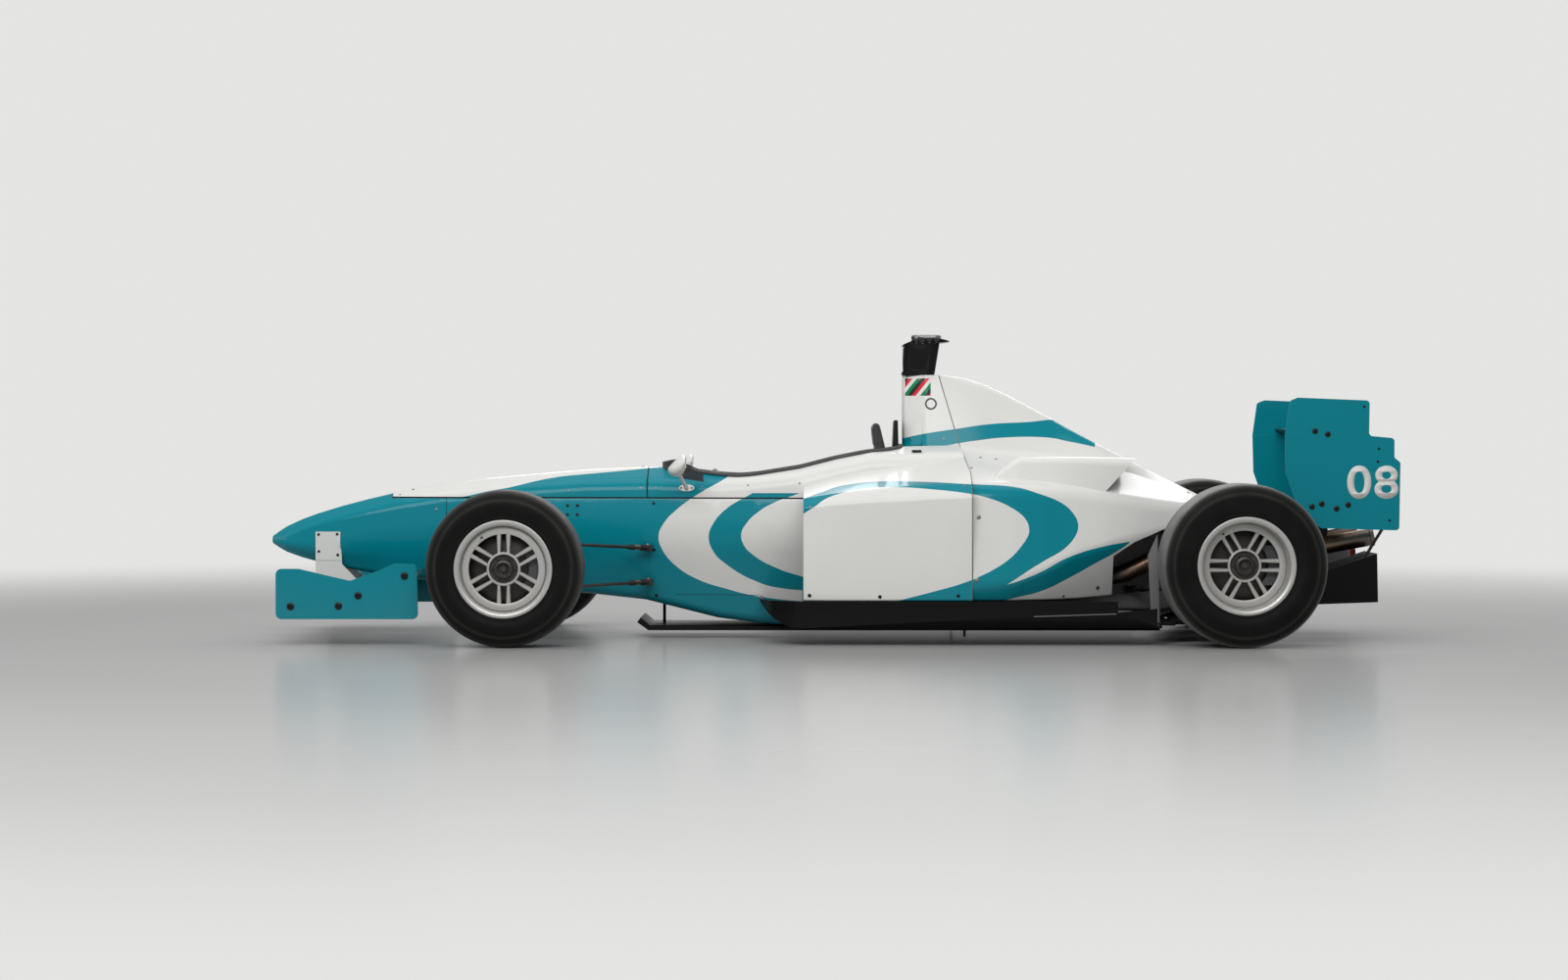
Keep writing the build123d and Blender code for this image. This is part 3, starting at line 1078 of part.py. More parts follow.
def main():
    os.makedirs("parts", exist_ok=True)
    outer, cavity, tub, hatch, nose, surround = build_fuselage()
    save("tub", tub)
    save("front_hatch", hatch)
    save("nose_cone", nose)

    fairing = build_hoop_fairing(outer)
    save("roll_hoop_fairing", max(solids_of(fairing), key=lambda s: s.volume))
    save("air_intake", build_intake())
    pod = build_sidepods(outer)
    pod = max(solids_of(pod), key=lambda s: s.volume)
    save("sidepods", both(pod))
    cover, outlet = build_engine_cover()
    save("engine_cover", max(solids_of(cover), key=lambda s: s.volume))
    save("hot_air_outlets", both(outlet))
    save("floor", build_floor(outer))
    save("plank", build_plank(outer))
    diffuser = build_diffuser()
    save("diffuser", diffuser)

    case = build_gearbox()
    engine = block(ENGINE_REAR_X, TUB_REAR_X, -ENGINE_HALF_Y, ENGINE_HALF_Y, ENGINE_LOW_Z, ENGINE_TOP_Z)
    save("engine", engine)
    save("gearbox", case)
    save("exhausts", both(build_exhausts() - engine))
    plates, planes, mount = build_rear_wing(case, diffuser)
    save("rear_wing_plates", plates)
    save("rear_wing_planes", planes)
    save("rear_wing_mount", mount)
    save("rain_light", block(RAIN_LIGHT_X - RAIN_LIGHT_T, RAIN_LIGHT_X, -RAIN_LIGHT_HALF_Y, RAIN_LIGHT_HALF_Y,
                             RAIN_LIGHT_LOW_Z, RAIN_LIGHT_TOP_Z))

    plates, main_plane, flaps, pylons = build_front_wing(outer)
    save("front_wing_plates", plates)
    save("front_wing_main", main_plane)
    save("front_wing_flaps", flaps)
    save("front_wing_pylons", pylons)

    for end, axle_x, tyre_r, tyre_w, dish, ball_y in (
        ("front", FRONT_AXLE_X, FRONT_TYRE_R, FRONT_TYRE_W, FRONT_DISH, KINGPIN_Y),
        ("rear", REAR_AXLE_X, REAR_TYRE_R, REAR_TYRE_W, REAR_DISH, REAR_BALL_Y),
    ):
        tyre, rim, brake, disc_in, disc_out = wheel_pieces(axle_x, tyre_r, tyre_w, dish, ball_y)
        if end == "rear":
            shaft = disc_y(axle_x, tyre_r, OUTPUT_BOSS_Y + SEAT_GAP, ball_y + UPRIGHT_BACK - 6, DRIVESHAFT_R)
            brake = brake + shaft
        for name, shape in (("tyre", tyre), ("rim", rim), ("brake", brake)):
            save(f"{name}_{end}_left", shape)
            save(f"{name}_{end}_right", mirrored(shape))
        if end == "front":
            upright = build_front_upright(disc_in, disc_out)
            save("upright_front_left", upright)
            save("upright_front_right", mirrored(upright))
        else:
            upright = build_upright(axle_x, tyre_r, ball_y, REAR_UPPER_Z, REAR_LOWER_Z, disc_in, disc_out)
            save("uprights_rear", both(upright))
    save("suspension_front", both(build_front_suspension(outer)))
    save("suspension_rear", both(build_rear_suspension(case)))

    rack_x = FRONT_AXLE_X + STEERING_ARM_X
    half = KINGPIN_Y - 12
    rack = disc_y(rack_x, TIE_ROD_Z, -half, half, TIE_ROD_R)
    rack = rack + disc_y(rack_x, TIE_ROD_Z, -RACK_HALF_Y, RACK_HALF_Y, RACK_R)
    for side in (-1, 1):
        rack = rack + post(rack_x, side * half, TIE_ROD_Z - ROD_END_H / 2, TIE_ROD_Z + ROD_END_H / 2, ROD_END_R)
    save("steering_rack", rack)

    wheel, centre, ahead = build_steering_wheel()
    save("steering_wheel", wheel)
    seat, pad, panel, dash = build_cockpit()
    save("seat", seat)
    save("headrest", [pad, panel])
    save("dash", dash)
    screen = build_screen(outer)
    save("windscreen", screen)
    mirrors = both(build_mirror(outer))
    save("mirrors", mirrors)
    for piece in [screen] + mirrors:
        surround = surround - piece
    save("cockpit_surround", max(solids_of(surround), key=lambda s: s.volume))

    turn = Rot(0, 0, RADIATOR_TILT)
    core = turn * Box(RADIATOR_T, RADIATOR_W, RADIATOR_H)
    core = Pos(RADIATOR_X, RADIATOR_Y, (SIDEPOD_LOW_Z + 540) / 2) * core
    core = (core & sidepod_loft(SIDEPOD_LIP + SEAT_GAP, SIDEPOD_WALL + SEAT_GAP)) - outer
    save("radiators", both(max(solids_of(core), key=lambda s: s.volume)))
    vane_foot = FLOOR_Z + FLOOR_SHEET
    vane = side_plate([(VANE_X + VANE_CHORD / 2, VANE_FRONT_Z), (VANE_X - VANE_CHORD / 2, VANE_TOP_Z),
                       (VANE_X - VANE_CHORD / 2 - 10, vane_foot), (VANE_X + VANE_CHORD / 2 - 14, vane_foot)],
                      VANE_Y, VANE_T)
    save("rear_vanes", both(vane))


if __name__ == "__main__":
    main()
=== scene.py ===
# %% [markdown]
# An open wheel racing car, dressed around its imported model.
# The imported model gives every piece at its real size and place, so this script only adds looks:
# paint, weave, rubber, metal, pads, fasteners and the thin trim that a solid leaves out.
# Everything is in metres, nose towards +X, the car's left towards +Y.

# %% Load the model
import bmesh
import bpy
import json
from math import cos, hypot, radians, sin, tau
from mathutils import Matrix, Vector
from mathutils.bvhtree import BVHTree

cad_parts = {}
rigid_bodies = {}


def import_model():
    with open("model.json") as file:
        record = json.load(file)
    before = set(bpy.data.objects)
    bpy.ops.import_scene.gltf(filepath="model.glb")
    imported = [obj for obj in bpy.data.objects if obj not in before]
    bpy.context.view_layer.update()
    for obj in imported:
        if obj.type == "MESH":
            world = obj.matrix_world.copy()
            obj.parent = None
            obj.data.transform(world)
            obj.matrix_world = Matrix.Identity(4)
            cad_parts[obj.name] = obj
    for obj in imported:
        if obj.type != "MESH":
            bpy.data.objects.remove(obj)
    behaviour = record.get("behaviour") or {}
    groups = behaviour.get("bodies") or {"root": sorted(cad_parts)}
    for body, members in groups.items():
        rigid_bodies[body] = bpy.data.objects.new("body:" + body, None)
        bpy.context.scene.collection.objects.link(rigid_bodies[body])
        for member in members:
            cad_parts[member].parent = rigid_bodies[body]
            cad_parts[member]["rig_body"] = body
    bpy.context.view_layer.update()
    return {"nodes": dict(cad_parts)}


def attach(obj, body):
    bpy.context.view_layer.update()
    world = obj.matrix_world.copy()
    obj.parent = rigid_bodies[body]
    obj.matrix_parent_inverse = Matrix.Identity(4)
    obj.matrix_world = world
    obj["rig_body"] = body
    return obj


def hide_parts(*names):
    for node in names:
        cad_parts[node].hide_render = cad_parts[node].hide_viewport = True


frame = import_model()
nodes = frame["nodes"]
print("loaded", len(nodes), "pieces of the model")

# %% [markdown]
# Materials and growing shapes are node trees. Written out node by node they are hard to read, so a
# value that comes out of a node is wrapped here: a plus between two values makes a Math node, a less
# sign makes a mask, and masks are joined by & and | and turned over by ~. `add` makes a node and
# fills its sockets, and `result` gives what comes out of it.


# %% Values and nodes
def sign(operation, swapped=False):
    """What a sign does between two values: it makes a Math node."""
    def join(self, other):
        pair = (other, self) if swapped else (self, other)
        return math(self.tree, operation, *pair)
    return join


class Value:
    """What an output socket carries."""
    __add__ = __radd__ = sign("ADD")
    __sub__ = sign("SUBTRACT")
    __rsub__ = sign("SUBTRACT", swapped=True)
    __mul__ = __rmul__ = __and__ = sign("MULTIPLY")
    __truediv__ = sign("DIVIDE")
    __rtruediv__ = sign("DIVIDE", swapped=True)
    __or__ = sign("MAXIMUM")
    __lt__ = sign("LESS_THAN")
    __gt__ = sign("GREATER_THAN")

    def __init__(self, socket):
        self.socket = socket
        self.tree = socket.id_data

    def __abs__(self):
        return math(self.tree, "ABSOLUTE", self)

    def __invert__(self):
        return 1.0 - self


def feed(target, source):
    """Gives an input socket a plain value, or joins it to another node's output."""
    if isinstance(source, Value):
        target.id_data.links.new(source.socket, target)
    elif target.type == "RGBA":
        target.default_value = (*source, 1)
    else:
        target.default_value = source


def fill(node, **values):
    """Sets a node's properties and input sockets by name."""
    for key, value in values.items():
        if hasattr(node, key):
            setattr(node, key, value)
        else:
            feed(node.inputs[key.replace("_", " ")], value)


def add(tree, kind, *sources, **values):
    """A node: sources feed its first inputs in order, and the rest is set by name."""
    node = tree.nodes.new(kind)
    fill(node, **values)
    for target, source in zip(node.inputs, sources):
        feed(target, source)
    return node


def result(tree, kind, *sources, give=0, **values):
    """What comes out of a new node."""
    return Value(add(tree, kind, *sources, **values).outputs[give])


def math(tree, operation, *values, clamp=False):
    """A Math node on numbers and values."""
    return result(tree, "ShaderNodeMath", *values, operation=operation, use_clamp=clamp)


def new_material(name):
    """A material with an empty node tree, and its Principled shader."""
    material = bpy.data.materials.new(name)
    material.use_nodes = True
    return material, material.node_tree, material.node_tree.nodes["Principled BSDF"]


def place_of(tree):
    """A point's place on the car, and its X, Y and Z."""
    place = result(tree, "ShaderNodeTexCoord", give="Object")
    parts = add(tree, "ShaderNodeSeparateXYZ", place)
    return place, *[Value(socket) for socket in parts.outputs]


print("values and nodes ready")

# %% [markdown]
# The stage is a plain pale floor and a plain pale surround.
# The floor could be a huge plane, but its far edge would draw a line behind the car. A round disc that
# turns transparent towards its rim melts into the surround at the same distance on every side.
# It is a little polished, because the car's reflection tells how it stands. The surround looks pale
# to the camera, but lights the car more softly, so that dark and teal surfaces keep their depth.

# %% Floor and surround
FLOOR_R = 9.0
FLOOR_SOLID_R = 3.2
FLOOR_Z = -0.0005
FLOOR_STEPS = 128
FLOOR_TONE = (0.42, 0.42, 0.4137)
WALL_TONE = (0.78, 0.78, 0.7644)
ROOM_LIGHT = 0.36


def put(name, mesh):
    """A new object with that mesh, at the origin."""
    thing = bpy.data.objects.new(name, mesh)
    bpy.context.scene.collection.objects.link(thing)
    return thing


disc = bpy.data.meshes.new("studio_floor")
turns = [tau * i / FLOOR_STEPS for i in range(FLOOR_STEPS)]
disc.from_pydata([(FLOOR_R * cos(t), FLOOR_R * sin(t), FLOOR_Z) for t in turns], [], [range(FLOOR_STEPS)])
floor = put("studio_floor", disc)
material, tree, shader = new_material("polished_floor")
fill(shader, Base_Color=FLOOR_TONE, Roughness=0.20, Specular_IOR_Level=0.14)
away = result(tree, "ShaderNodeVectorMath", place_of(tree)[0], give="Value", operation="LENGTH")
fade = result(tree, "ShaderNodeMapRange", away, interpolation_type="SMOOTHSTEP", From_Min=FLOOR_SOLID_R,
              From_Max=FLOOR_R)
clear = result(tree, "ShaderNodeBsdfTransparent")
melt = result(tree, "ShaderNodeMixShader", fade, Value(shader.outputs[0]), clear)
feed(tree.nodes["Material Output"].inputs["Surface"], melt)
floor.data.materials.append(material)

world = bpy.data.worlds.new("pale_surround")
bpy.context.scene.world = world
world.use_nodes = True
tree = world.node_tree
backdrop = tree.nodes["Background"]
fill(backdrop, Color=WALL_TONE, Strength=1.0)
room = result(tree, "ShaderNodeBackground", (1.0, 1.0, 1.0), ROOM_LIGHT)
rays = add(tree, "ShaderNodeLightPath").outputs
seen = Value(rays["Is Camera Ray"]) | Value(rays["Is Transmission Ray"])
mix = result(tree, "ShaderNodeMixShader", seen, room, Value(backdrop.outputs[0]))
feed(tree.nodes["World Output"].inputs["Surface"], mix)
print("stage ready, floor radius", FLOOR_R)

# %% [markdown]
# Plain studio light: one wide soft box overhead, one wide soft panel high up on each side of the car
# and one at each end. Wide lamps give the long even reflections that show the form of glossy bodywork,
# and side panels that stand this high keep their own reflections out of the floor in the picture.

# %% Lamps and camera
CAMERA_AT = (0.0245, 13.870, 0.786)
CAMERA_LENS = 80.775
CAMERA_YAW = 0.5745
CAMERA_PITCH = -0.878
# name: place, height of the point it looks at, width, height, power
LAMPS = {
    "overhead_box": ((0.0, 0.0, 5.2), 0.0, 7.0, 3.6, 100),
    "left_panel": ((1.0, 5.6, 4.2), 0.4, 7.0, 2.4, 280),
    "right_panel": ((-1.0, -5.6, 4.2), 0.4, 7.0, 2.4, 230),
    "front_panel": ((6.5, 0.8, 2.6), 0.4, 3.5, 2.2, 40),
    "rear_panel": ((-6.5, -0.8, 2.6), 0.4, 3.5, 2.2, 40),
}

for name, (at, aim_z, width, height, power) in LAMPS.items():
    lamp = bpy.data.lights.new(name, "AREA")
    lamp.shape = "RECTANGLE"
    lamp.size = width
    lamp.size_y = height
    lamp.energy = power
    holder = put(name, lamp)
    holder.location = at
    holder.rotation_euler = (Vector((0, 0, aim_z)) - Vector(at)).to_track_quat("-Z", "Y").to_euler()

camera = bpy.data.cameras.new("photo_camera")
camera.lens = CAMERA_LENS
camera.sensor_width = 36.0
viewer = put("photo_camera", camera)
viewer.location = CAMERA_AT
viewer.rotation_euler = (radians(90 + CAMERA_PITCH), 0, radians(180 + CAMERA_YAW))
bpy.context.scene.camera = viewer
bpy.context.scene.view_settings.view_transform = "Standard"
print("lamps:", len(LAMPS), "camera:", CAMERA_LENS, "mm")

# %% [markdown]
# Colours and numbers are mixed by masks, heights tilt the surface, and an edge or a tone that has to
# follow real sizes is a smooth curve drawn from a short list of them. An effect that several
# materials share becomes a node group.


# %% Mixing, curves and groups
def blend_colors(mask, low, high, kind="RGBA", first=6):
    """A colour between two, as a mask goes from 0 to 1."""
    node = add(mask.tree, "ShaderNodeMix", mask, data_type=kind)
    feed(node.inputs[first], low)
    feed(node.inputs[first + 1], high)
    return Value(node.outputs[first // 3])


def blend_values(mask, low, high):
    """A number between two, as a mask goes from 0 to 1."""
    return blend_colors(mask, low, high, "FLOAT", 2)


def bump(shader, height, strength, distance):
    """Tilts a material's surface by a height."""
    tilt = result(height.tree, "ShaderNodeBump", Strength=strength, Distance=distance, Height=height)
    fill(shader, Normal=tilt)


def bend(value, pairs):
    """A smooth curve through pairs of (measure in, measure out), both in metres."""
    low_in, high_in = pairs[0][0], pairs[-1][0]
    low_out = min(b for a, b in pairs)
    span_out = max(b for a, b in pairs) - low_out
    scaled = math(value.tree, "MULTIPLY", value - low_in, 1 / (high_in - low_in), clamp=True)
    node = add(value.tree, "ShaderNodeFloatCurve", Value=scaled)
    curve = node.mapping.curves[0]
    placed = [((a - low_in) / (high_in - low_in), (b - low_out) / span_out) for a, b in pairs]
    while len(curve.points) < len(placed):
        curve.points.new(0.5, 0.5)
    for point, spot in zip(curve.points, placed):
        point.location = spot
    node.mapping.update()
    return Value(node.outputs[0]) * span_out + low_out


def ramp(value, stops, interpolation="LINEAR"):
    """A colour by a value, from a list of (value, colour)."""
    node = add(value.tree, "ShaderNodeValToRGB", value)
    node.color_ramp.interpolation = interpolation
    elements = node.color_ramp.elements
    while len(elements) < len(stops):
        elements.new(1.0)
    for i, (where, tint) in enumerate(stops):
        elements[i].position = where
        elements[i].color = (*tint, 1)
    return Value(node.outputs[0])


def new_group(name, inputs, outputs, kind="Float"):
    """A shader node group with sockets of one kind: the group, its inputs as values, its output node."""
    group = bpy.data.node_groups.new(name, "ShaderNodeTree")
    for label, start in inputs.items():
        socket = group.interface.new_socket(label, in_out="INPUT", socket_type="NodeSocket" + kind)
        socket.default_value = start
    for label in outputs:
        group.interface.new_socket(label, in_out="OUTPUT", socket_type="NodeSocket" + kind)
    given = list(group.nodes.new("NodeGroupInput").outputs)[:len(inputs)]
    return group, [Value(socket) for socket in given], group.nodes.new("NodeGroupOutput")


def use(tree, group, **values):
    """Places a group in a tree, sets its inputs, and gives its outputs as values."""
    node = add(tree, "ShaderNodeGroup", node_tree=group, **values)
    return [Value(socket) for socket in node.outputs]


print("mixing helpers ready")

# %% [markdown]
# Shared effects. Real surfaces are never one even tone: dust settles low down and in patches, and
# polish leaves faint clouds. `patchy_dust` gives that as a mask. `fine_grain` gives a height for the
# slight unevenness of lacquer, castings or rubber, and `cross_weave` the crossed threads of
# composite or cloth. Each is built once and placed in every material that needs it.

# %% Shared effects
dust_group, (top, depth, scale, amount), ends = new_group(
    "patchy_dust", {"Top": 0.5, "Depth": 0.4, "Patch Scale": 6.0, "Amount": 0.5}, ("Mask", "Cloud"))
place, px, py, pz = place_of(dust_group)
cloud = result(dust_group, "ShaderNodeTexNoise", Vector=place, Scale=scale, Detail=5.0, Roughness=0.6)
fall = math(dust_group, "DIVIDE", top - pz, depth, clamp=True)
fill(ends, Mask=math(dust_group, "MULTIPLY", fall * cloud * 1.7, amount, clamp=True), Cloud=cloud)

grain_group, (scale, detail), ends = new_group("fine_grain", {"Scale": 400.0, "Detail": 3.0}, ("Height",))
place, px, py, pz = place_of(grain_group)
grain = result(grain_group, "ShaderNodeTexNoise", Vector=place, Scale=scale, Detail=detail, Roughness=0.55)
fill(ends, Height=grain)

weave_group, (thread,), ends = new_group("cross_weave", {"Thread": 0.003}, ("Height", "Over"))
place, px, py, pz = place_of(weave_group)
turn = tau / 2 / thread
first = math(weave_group, "SINE", (px + pz) * turn)
second = math(weave_group, "SINE", (px + py - pz) * turn)
over = first * second > 0.0
fill(ends, Height=blend_values(over, abs(first), abs(second)), Over=over)
print("shared effects:", dust_group.name, grain_group.name, weave_group.name)

# %% [markdown]
# The livery. On the real car it is cut film on white lacquer. It could be a painted picture, but a
# few smooth curves say the same: each edge is drawn as a height for every place along the car, or as
# a place along the car for every height, and a point is teal if it lies between two such edges.
# An oval's nose is round, so its edges are drawn against the square root of the distance from the
# nose, which straightens them and lets a few points draw a true round.

# %% Livery edges, real sizes in metres
SEAM_Z = 0.548
HATCH_FRONT_X = 1.7
# (z, x) edges on the tub, which bulge forwards
TUB_OVAL = [
    (0.147, 0.089), (0.169, 0.285), (0.194, 0.386), (0.228, 0.492), (0.277, 0.575), (0.341, 0.631),
    (0.398, 0.648), (0.447, 0.628), (0.503, 0.575), (0.56, 0.496), (0.614, 0.402), (0.66, 0.33)]
BAND_OUTER = [
    (0.19, 0.09), (0.196, 0.16), (0.217, 0.252), (0.291, 0.386), (0.341, 0.435), (0.398, 0.452),
    (0.447, 0.435), (0.503, 0.386), (0.567, 0.281), (0.6, 0.23)]
BAND_INNER = [
    (0.225, 0.04), (0.243, 0.09), (0.274, 0.184), (0.331, 0.285), (0.364, 0.315), (0.405, 0.326),
    (0.447, 0.307), (0.499, 0.252), (0.533, 0.19), (0.564, 0.104), (0.59, 0.04)]
BAND_TOP_Z = 0.566
# (x, z) edges on the hatch and the engine cover
HATCH_EDGE = [
    (0.62, 0.668), (0.777, 0.652), (0.931, 0.638), (1.027, 0.629), (1.084, 0.62), (1.142, 0.608),
    (1.238, 0.585), (1.326, 0.569), (1.392, 0.554), (1.48, 0.54), (1.7, 0.54)]
SPINE_UPPER = [
    (-1.06, 0.86), (-0.877, 0.85), (-0.804, 0.842), (-0.657, 0.834), (-0.496, 0.812), (-0.364, 0.791),
    (-0.25, 0.761)]
SPINE_LOWER = [
    (-1.057, 0.743), (-0.951, 0.765), (-0.841, 0.782), (-0.731, 0.782), (-0.584, 0.768),
    (-0.437, 0.743), (-0.25, 0.715)]
SPINE_REAR_X = -1.057
SWOOSH_UPPER = [
    (-1.16, 0.384), (-1.054, 0.368), (-0.932, 0.335), (-0.779, 0.262), (-0.676, 0.228), (-0.4, 0.18)]
SWOOSH_LOWER = [
    (-1.16, 0.381), (-1.096, 0.341), (-1.023, 0.304), (-0.932, 0.256), (-0.81, 0.201), (-0.706, 0.176),
    (-0.6, 0.15)]
SWOOSH_REAR_X = -1.157
# Ovals on the sidepod: nose x, then (distance from the nose, z) along the upper and the lower edge
RING_OUTER = (
    -0.955,
    [(0.0, 0.447), (0.014, 0.487), (0.058, 0.53), (0.143, 0.566), (0.265, 0.597), (0.411, 0.605),
     (0.61, 0.614), (0.742, 0.614), (0.873, 0.601), (0.975, 0.572), (1.04, 0.55)],
    [(0.0, 0.447), (0.012, 0.408), (0.058, 0.359), (0.143, 0.311), (0.277, 0.228), (0.42, 0.15)])
RING_INNER = (
    -0.766,
    [(0.0, 0.43), (0.011, 0.469), (0.06, 0.512), (0.139, 0.548), (0.224, 0.569), (0.356, 0.585),
     (0.52, 0.594), (0.618, 0.588), (0.717, 0.569), (0.815, 0.516), (0.88, 0.47)],
    [(0.0, 0.43), (0.017, 0.39), (0.078, 0.323), (0.169, 0.268), (0.261, 0.231), (0.356, 0.204),
     (0.48, 0.172), (0.6, 0.14)])
RING_FRONT_X = 0.10


# %% Livery groups
def oval(x, z, shape):
    """A mask of the inside of an oval, given by its nose and two edges."""
    nose, upper, lower = shape
    reach = x - nose
    root = math(x.tree, "SQRT", math(x.tree, "MAXIMUM", reach, 0.0))
    above, below = [bend(root, [(d ** 0.5, h) for d, h in edge]) for edge in (upper, lower)]
    return (reach > 0.0) & (z < above) & (z > below)


front_livery, given, ends = new_group("front_livery", {}, ("Teal",))
place, px, py, pz = place_of(front_livery)
band = (px < bend(pz, BAND_OUTER)) & (px > bend(pz, BAND_INNER)) & (pz < BAND_TOP_Z)
hatch_white = (pz > bend(px, HATCH_EDGE)) & (pz > SEAM_Z) & (px < HATCH_FRONT_X)
fill(ends, Teal=~((px < bend(pz, TUB_OVAL)) & ~band | hatch_white))

rear_livery, given, ends = new_group("rear_livery", {}, ("Teal",))
place, px, py, pz = place_of(rear_livery)
outer_oval = oval(px, pz, RING_OUTER) & (px < RING_FRONT_X)
swoosh = (pz < bend(px, SWOOSH_UPPER)) & (pz > bend(px, SWOOSH_LOWER)) & (px > SWOOSH_REAR_X)
spine = (pz < bend(px, SPINE_UPPER)) & (pz > bend(px, SPINE_LOWER)) & (px > SPINE_REAR_X)
fill(ends, Teal=(outer_oval | swoosh) & ~oval(px, pz, RING_INNER) | spine)
print("livery groups:", front_livery.name, rear_livery.name)

# %% [markdown]
# Panel joints show as fine dark lines. They could be cut as real grooves, and the long seam is, but a
# line drawn in the paint stays crisp at any distance. A line is where a measure lies within a
# millimetre or two of a value, so the group is a few subtractions and comparisons.

# %% Panel lines
HATCH_REAR_X = 0.692
NOSE_JOINT_X = 1.48
KEEL_LINE_Z = 0.17
WIDE_LINE, FINE_LINE = 0.0022, 0.0014
# (z, x) of the joint between the front bodywork and the engine cover
COVER_JOINT = [(0.0, -0.55), (0.65, -0.55), (1.1, -0.4216)]


def near(value, centre, half):
    """A mask of where a value lies within half of a centre."""
    return abs(value - centre) < half


front_lines, given, ends = new_group("front_panel_lines", {}, ("Line",))
place, px, py, pz = place_of(front_lines)
seam = near(pz, SEAM_Z - 0.002, 0.0030) & (px < HATCH_FRONT_X)
hatch_ends = near(px, HATCH_REAR_X, WIDE_LINE) | near(px, HATCH_FRONT_X, FINE_LINE)
nose_joint = near(px, NOSE_JOINT_X, FINE_LINE) & (pz < SEAM_Z)
keel_line = near(pz, KEEL_LINE_Z, 0.0010) & (px < 0.58) & (px > 0.25)
fill(ends, Line=seam | (pz > SEAM_Z - 0.002) & hatch_ends | nose_joint | keel_line)

rear_lines, given, ends = new_group("rear_panel_lines", {}, ("Line",))
place, px, py, pz = place_of(rear_lines)
low_run, high_run = [
    (pz - z0) * ((x1 - x0) / (z1 - z0)) + x0 for (z0, x0), (z1, x1) in zip(COVER_JOINT, COVER_JOINT[1:])]
fill(ends, Line=near(px, low_run | high_run, WIDE_LINE))
print("panel lines:", front_lines.name, rear_lines.name)

# %% [markdown]
# The roll hoop fairing carries two small stickers on the real car. Here they are plain ones: a patch
# of slanting stripes, and a ring. Both are drawn by measures, as the livery is: which stripe a point
# lies in is its slanted distance divided by the width of a set of stripes, without the whole part.

# %% Sticker group
PATCH_X, PATCH_Z = -0.362, 0.978
PATCH_HALF_X, PATCH_HALF_Z = 0.050, 0.034
STRIPE_WIDTH = 0.0165
STRIPES = ((0.018, 0.018, 0.02), (0.0, 0.20, 0.06), (0.72, 0.72, 0.70), (0.62, 0.02, 0.03))
RING_AT, RING_R, RING_LINE = (-0.412, 0.912), 0.020, 0.0035
INK = (0.02, 0.02, 0.022)


def distance(px, pz, centre):
    """How far a point is, in side view, from a centre."""
    dx, dz = px - centre[0], pz - centre[1]
    return math(px.tree, "SQRT", dx * dx + dz * dz)


stickers, (paint,), ends = new_group("stickers", {"Paint": (1, 1, 1, 1)}, ("Color",), kind="Color")
place, px, py, pz = place_of(stickers)
inside = near(px, PATCH_X, PATCH_HALF_X) & near(pz, PATCH_Z, PATCH_HALF_Z)
slant = (pz - PATCH_Z) * 0.8 + (px - PATCH_X) + 0.2
share = math(stickers, "FRACT", slant / (STRIPE_WIDTH * len(STRIPES)))
bands = ramp(share, [(i / len(STRIPES), tint) for i, tint in enumerate(STRIPES)], "CONSTANT")
ring = near(distance(px, pz, RING_AT), RING_R, RING_LINE)
fill(ends, Color=blend_colors(ring, blend_colors(inside, paint, bands), INK))
print("stickers:", len(STRIPES), "stripe colours")

# %% [markdown]
# Lacquer on composite: a Principled shader with a clear coat. The colour comes from the livery mask,
# dust warms and dulls it low down, and a very fine grain stops the reflections from looking like
# glass. The panel lines darken it last.

# %% Lacquer
TEAL = (0.0, 0.215, 0.275)
WHITE = (0.71, 0.705, 0.68)
CLOUD_TONE = (0.02, 0.15, 0.17)
GRIME = (0.33, 0.29, 0.24)
LINE_TONE = (0.02, 0.02, 0.02)
JOINT_TONE = (0.16, 0.15, 0.13)


def lacquer(name, livery=None, plain=WHITE, lines=None, line_tone=LINE_TONE, marks=None):
    """Glossy paint: one plain colour, or teal and white by a livery, with panel lines and stickers."""
    material, tree, shader = new_material(name)
    color = plain
    if livery:
        color = blend_colors(use(tree, livery)[0], WHITE, TEAL)
    if marks:
        color = use(tree, marks, Paint=color)[0]
    dirt, cloud = use(tree, dust_group, Top=0.32, Depth=0.3, Patch_Scale=5.0, Amount=0.06)
    color = blend_colors(dirt, blend_colors(cloud * 0.07, color, CLOUD_TONE), GRIME)
    if lines:
        color = blend_colors(use(tree, lines)[0], color, line_tone)
    fill(shader, Base_Color=color, Roughness=blend_values(dirt, 0.34, 0.62),
         Coat_Weight=blend_values(dirt, 0.26, 0.05), Coat_Roughness=0.08, Specular_IOR_Level=0.08)
    bump(shader, use(tree, grain_group, Scale=90.0, Detail=2.0)[0], 0.05, 0.001)
    return material


front_paint = lacquer("front_lacquer", front_livery, lines=front_lines)
rear_paint = lacquer("rear_lacquer", rear_livery, lines=rear_lines, line_tone=JOINT_TONE)
fairing_paint = lacquer(
    "fairing_lacquer", rear_livery, lines=rear_lines, line_tone=JOINT_TONE, marks=stickers)
teal_paint = lacquer("teal_lacquer", plain=TEAL)
white_paint = lacquer("white_lacquer")
print("lacquers made")

# %% [markdown]
# Black composite is woven cloth in resin: dark, satin, with a weave that shows only close up.
# Black painted metal on the suspension arms is plainer and a little glossier. Cast and machined
# alloy differ in grain: castings are matt and pitted, machined faces are brighter.


# %% Composite and metals
def grey(tone, blue=1.0):
    """A grey, with a little more or less blue in it."""
    return (tone, tone, tone * blue)


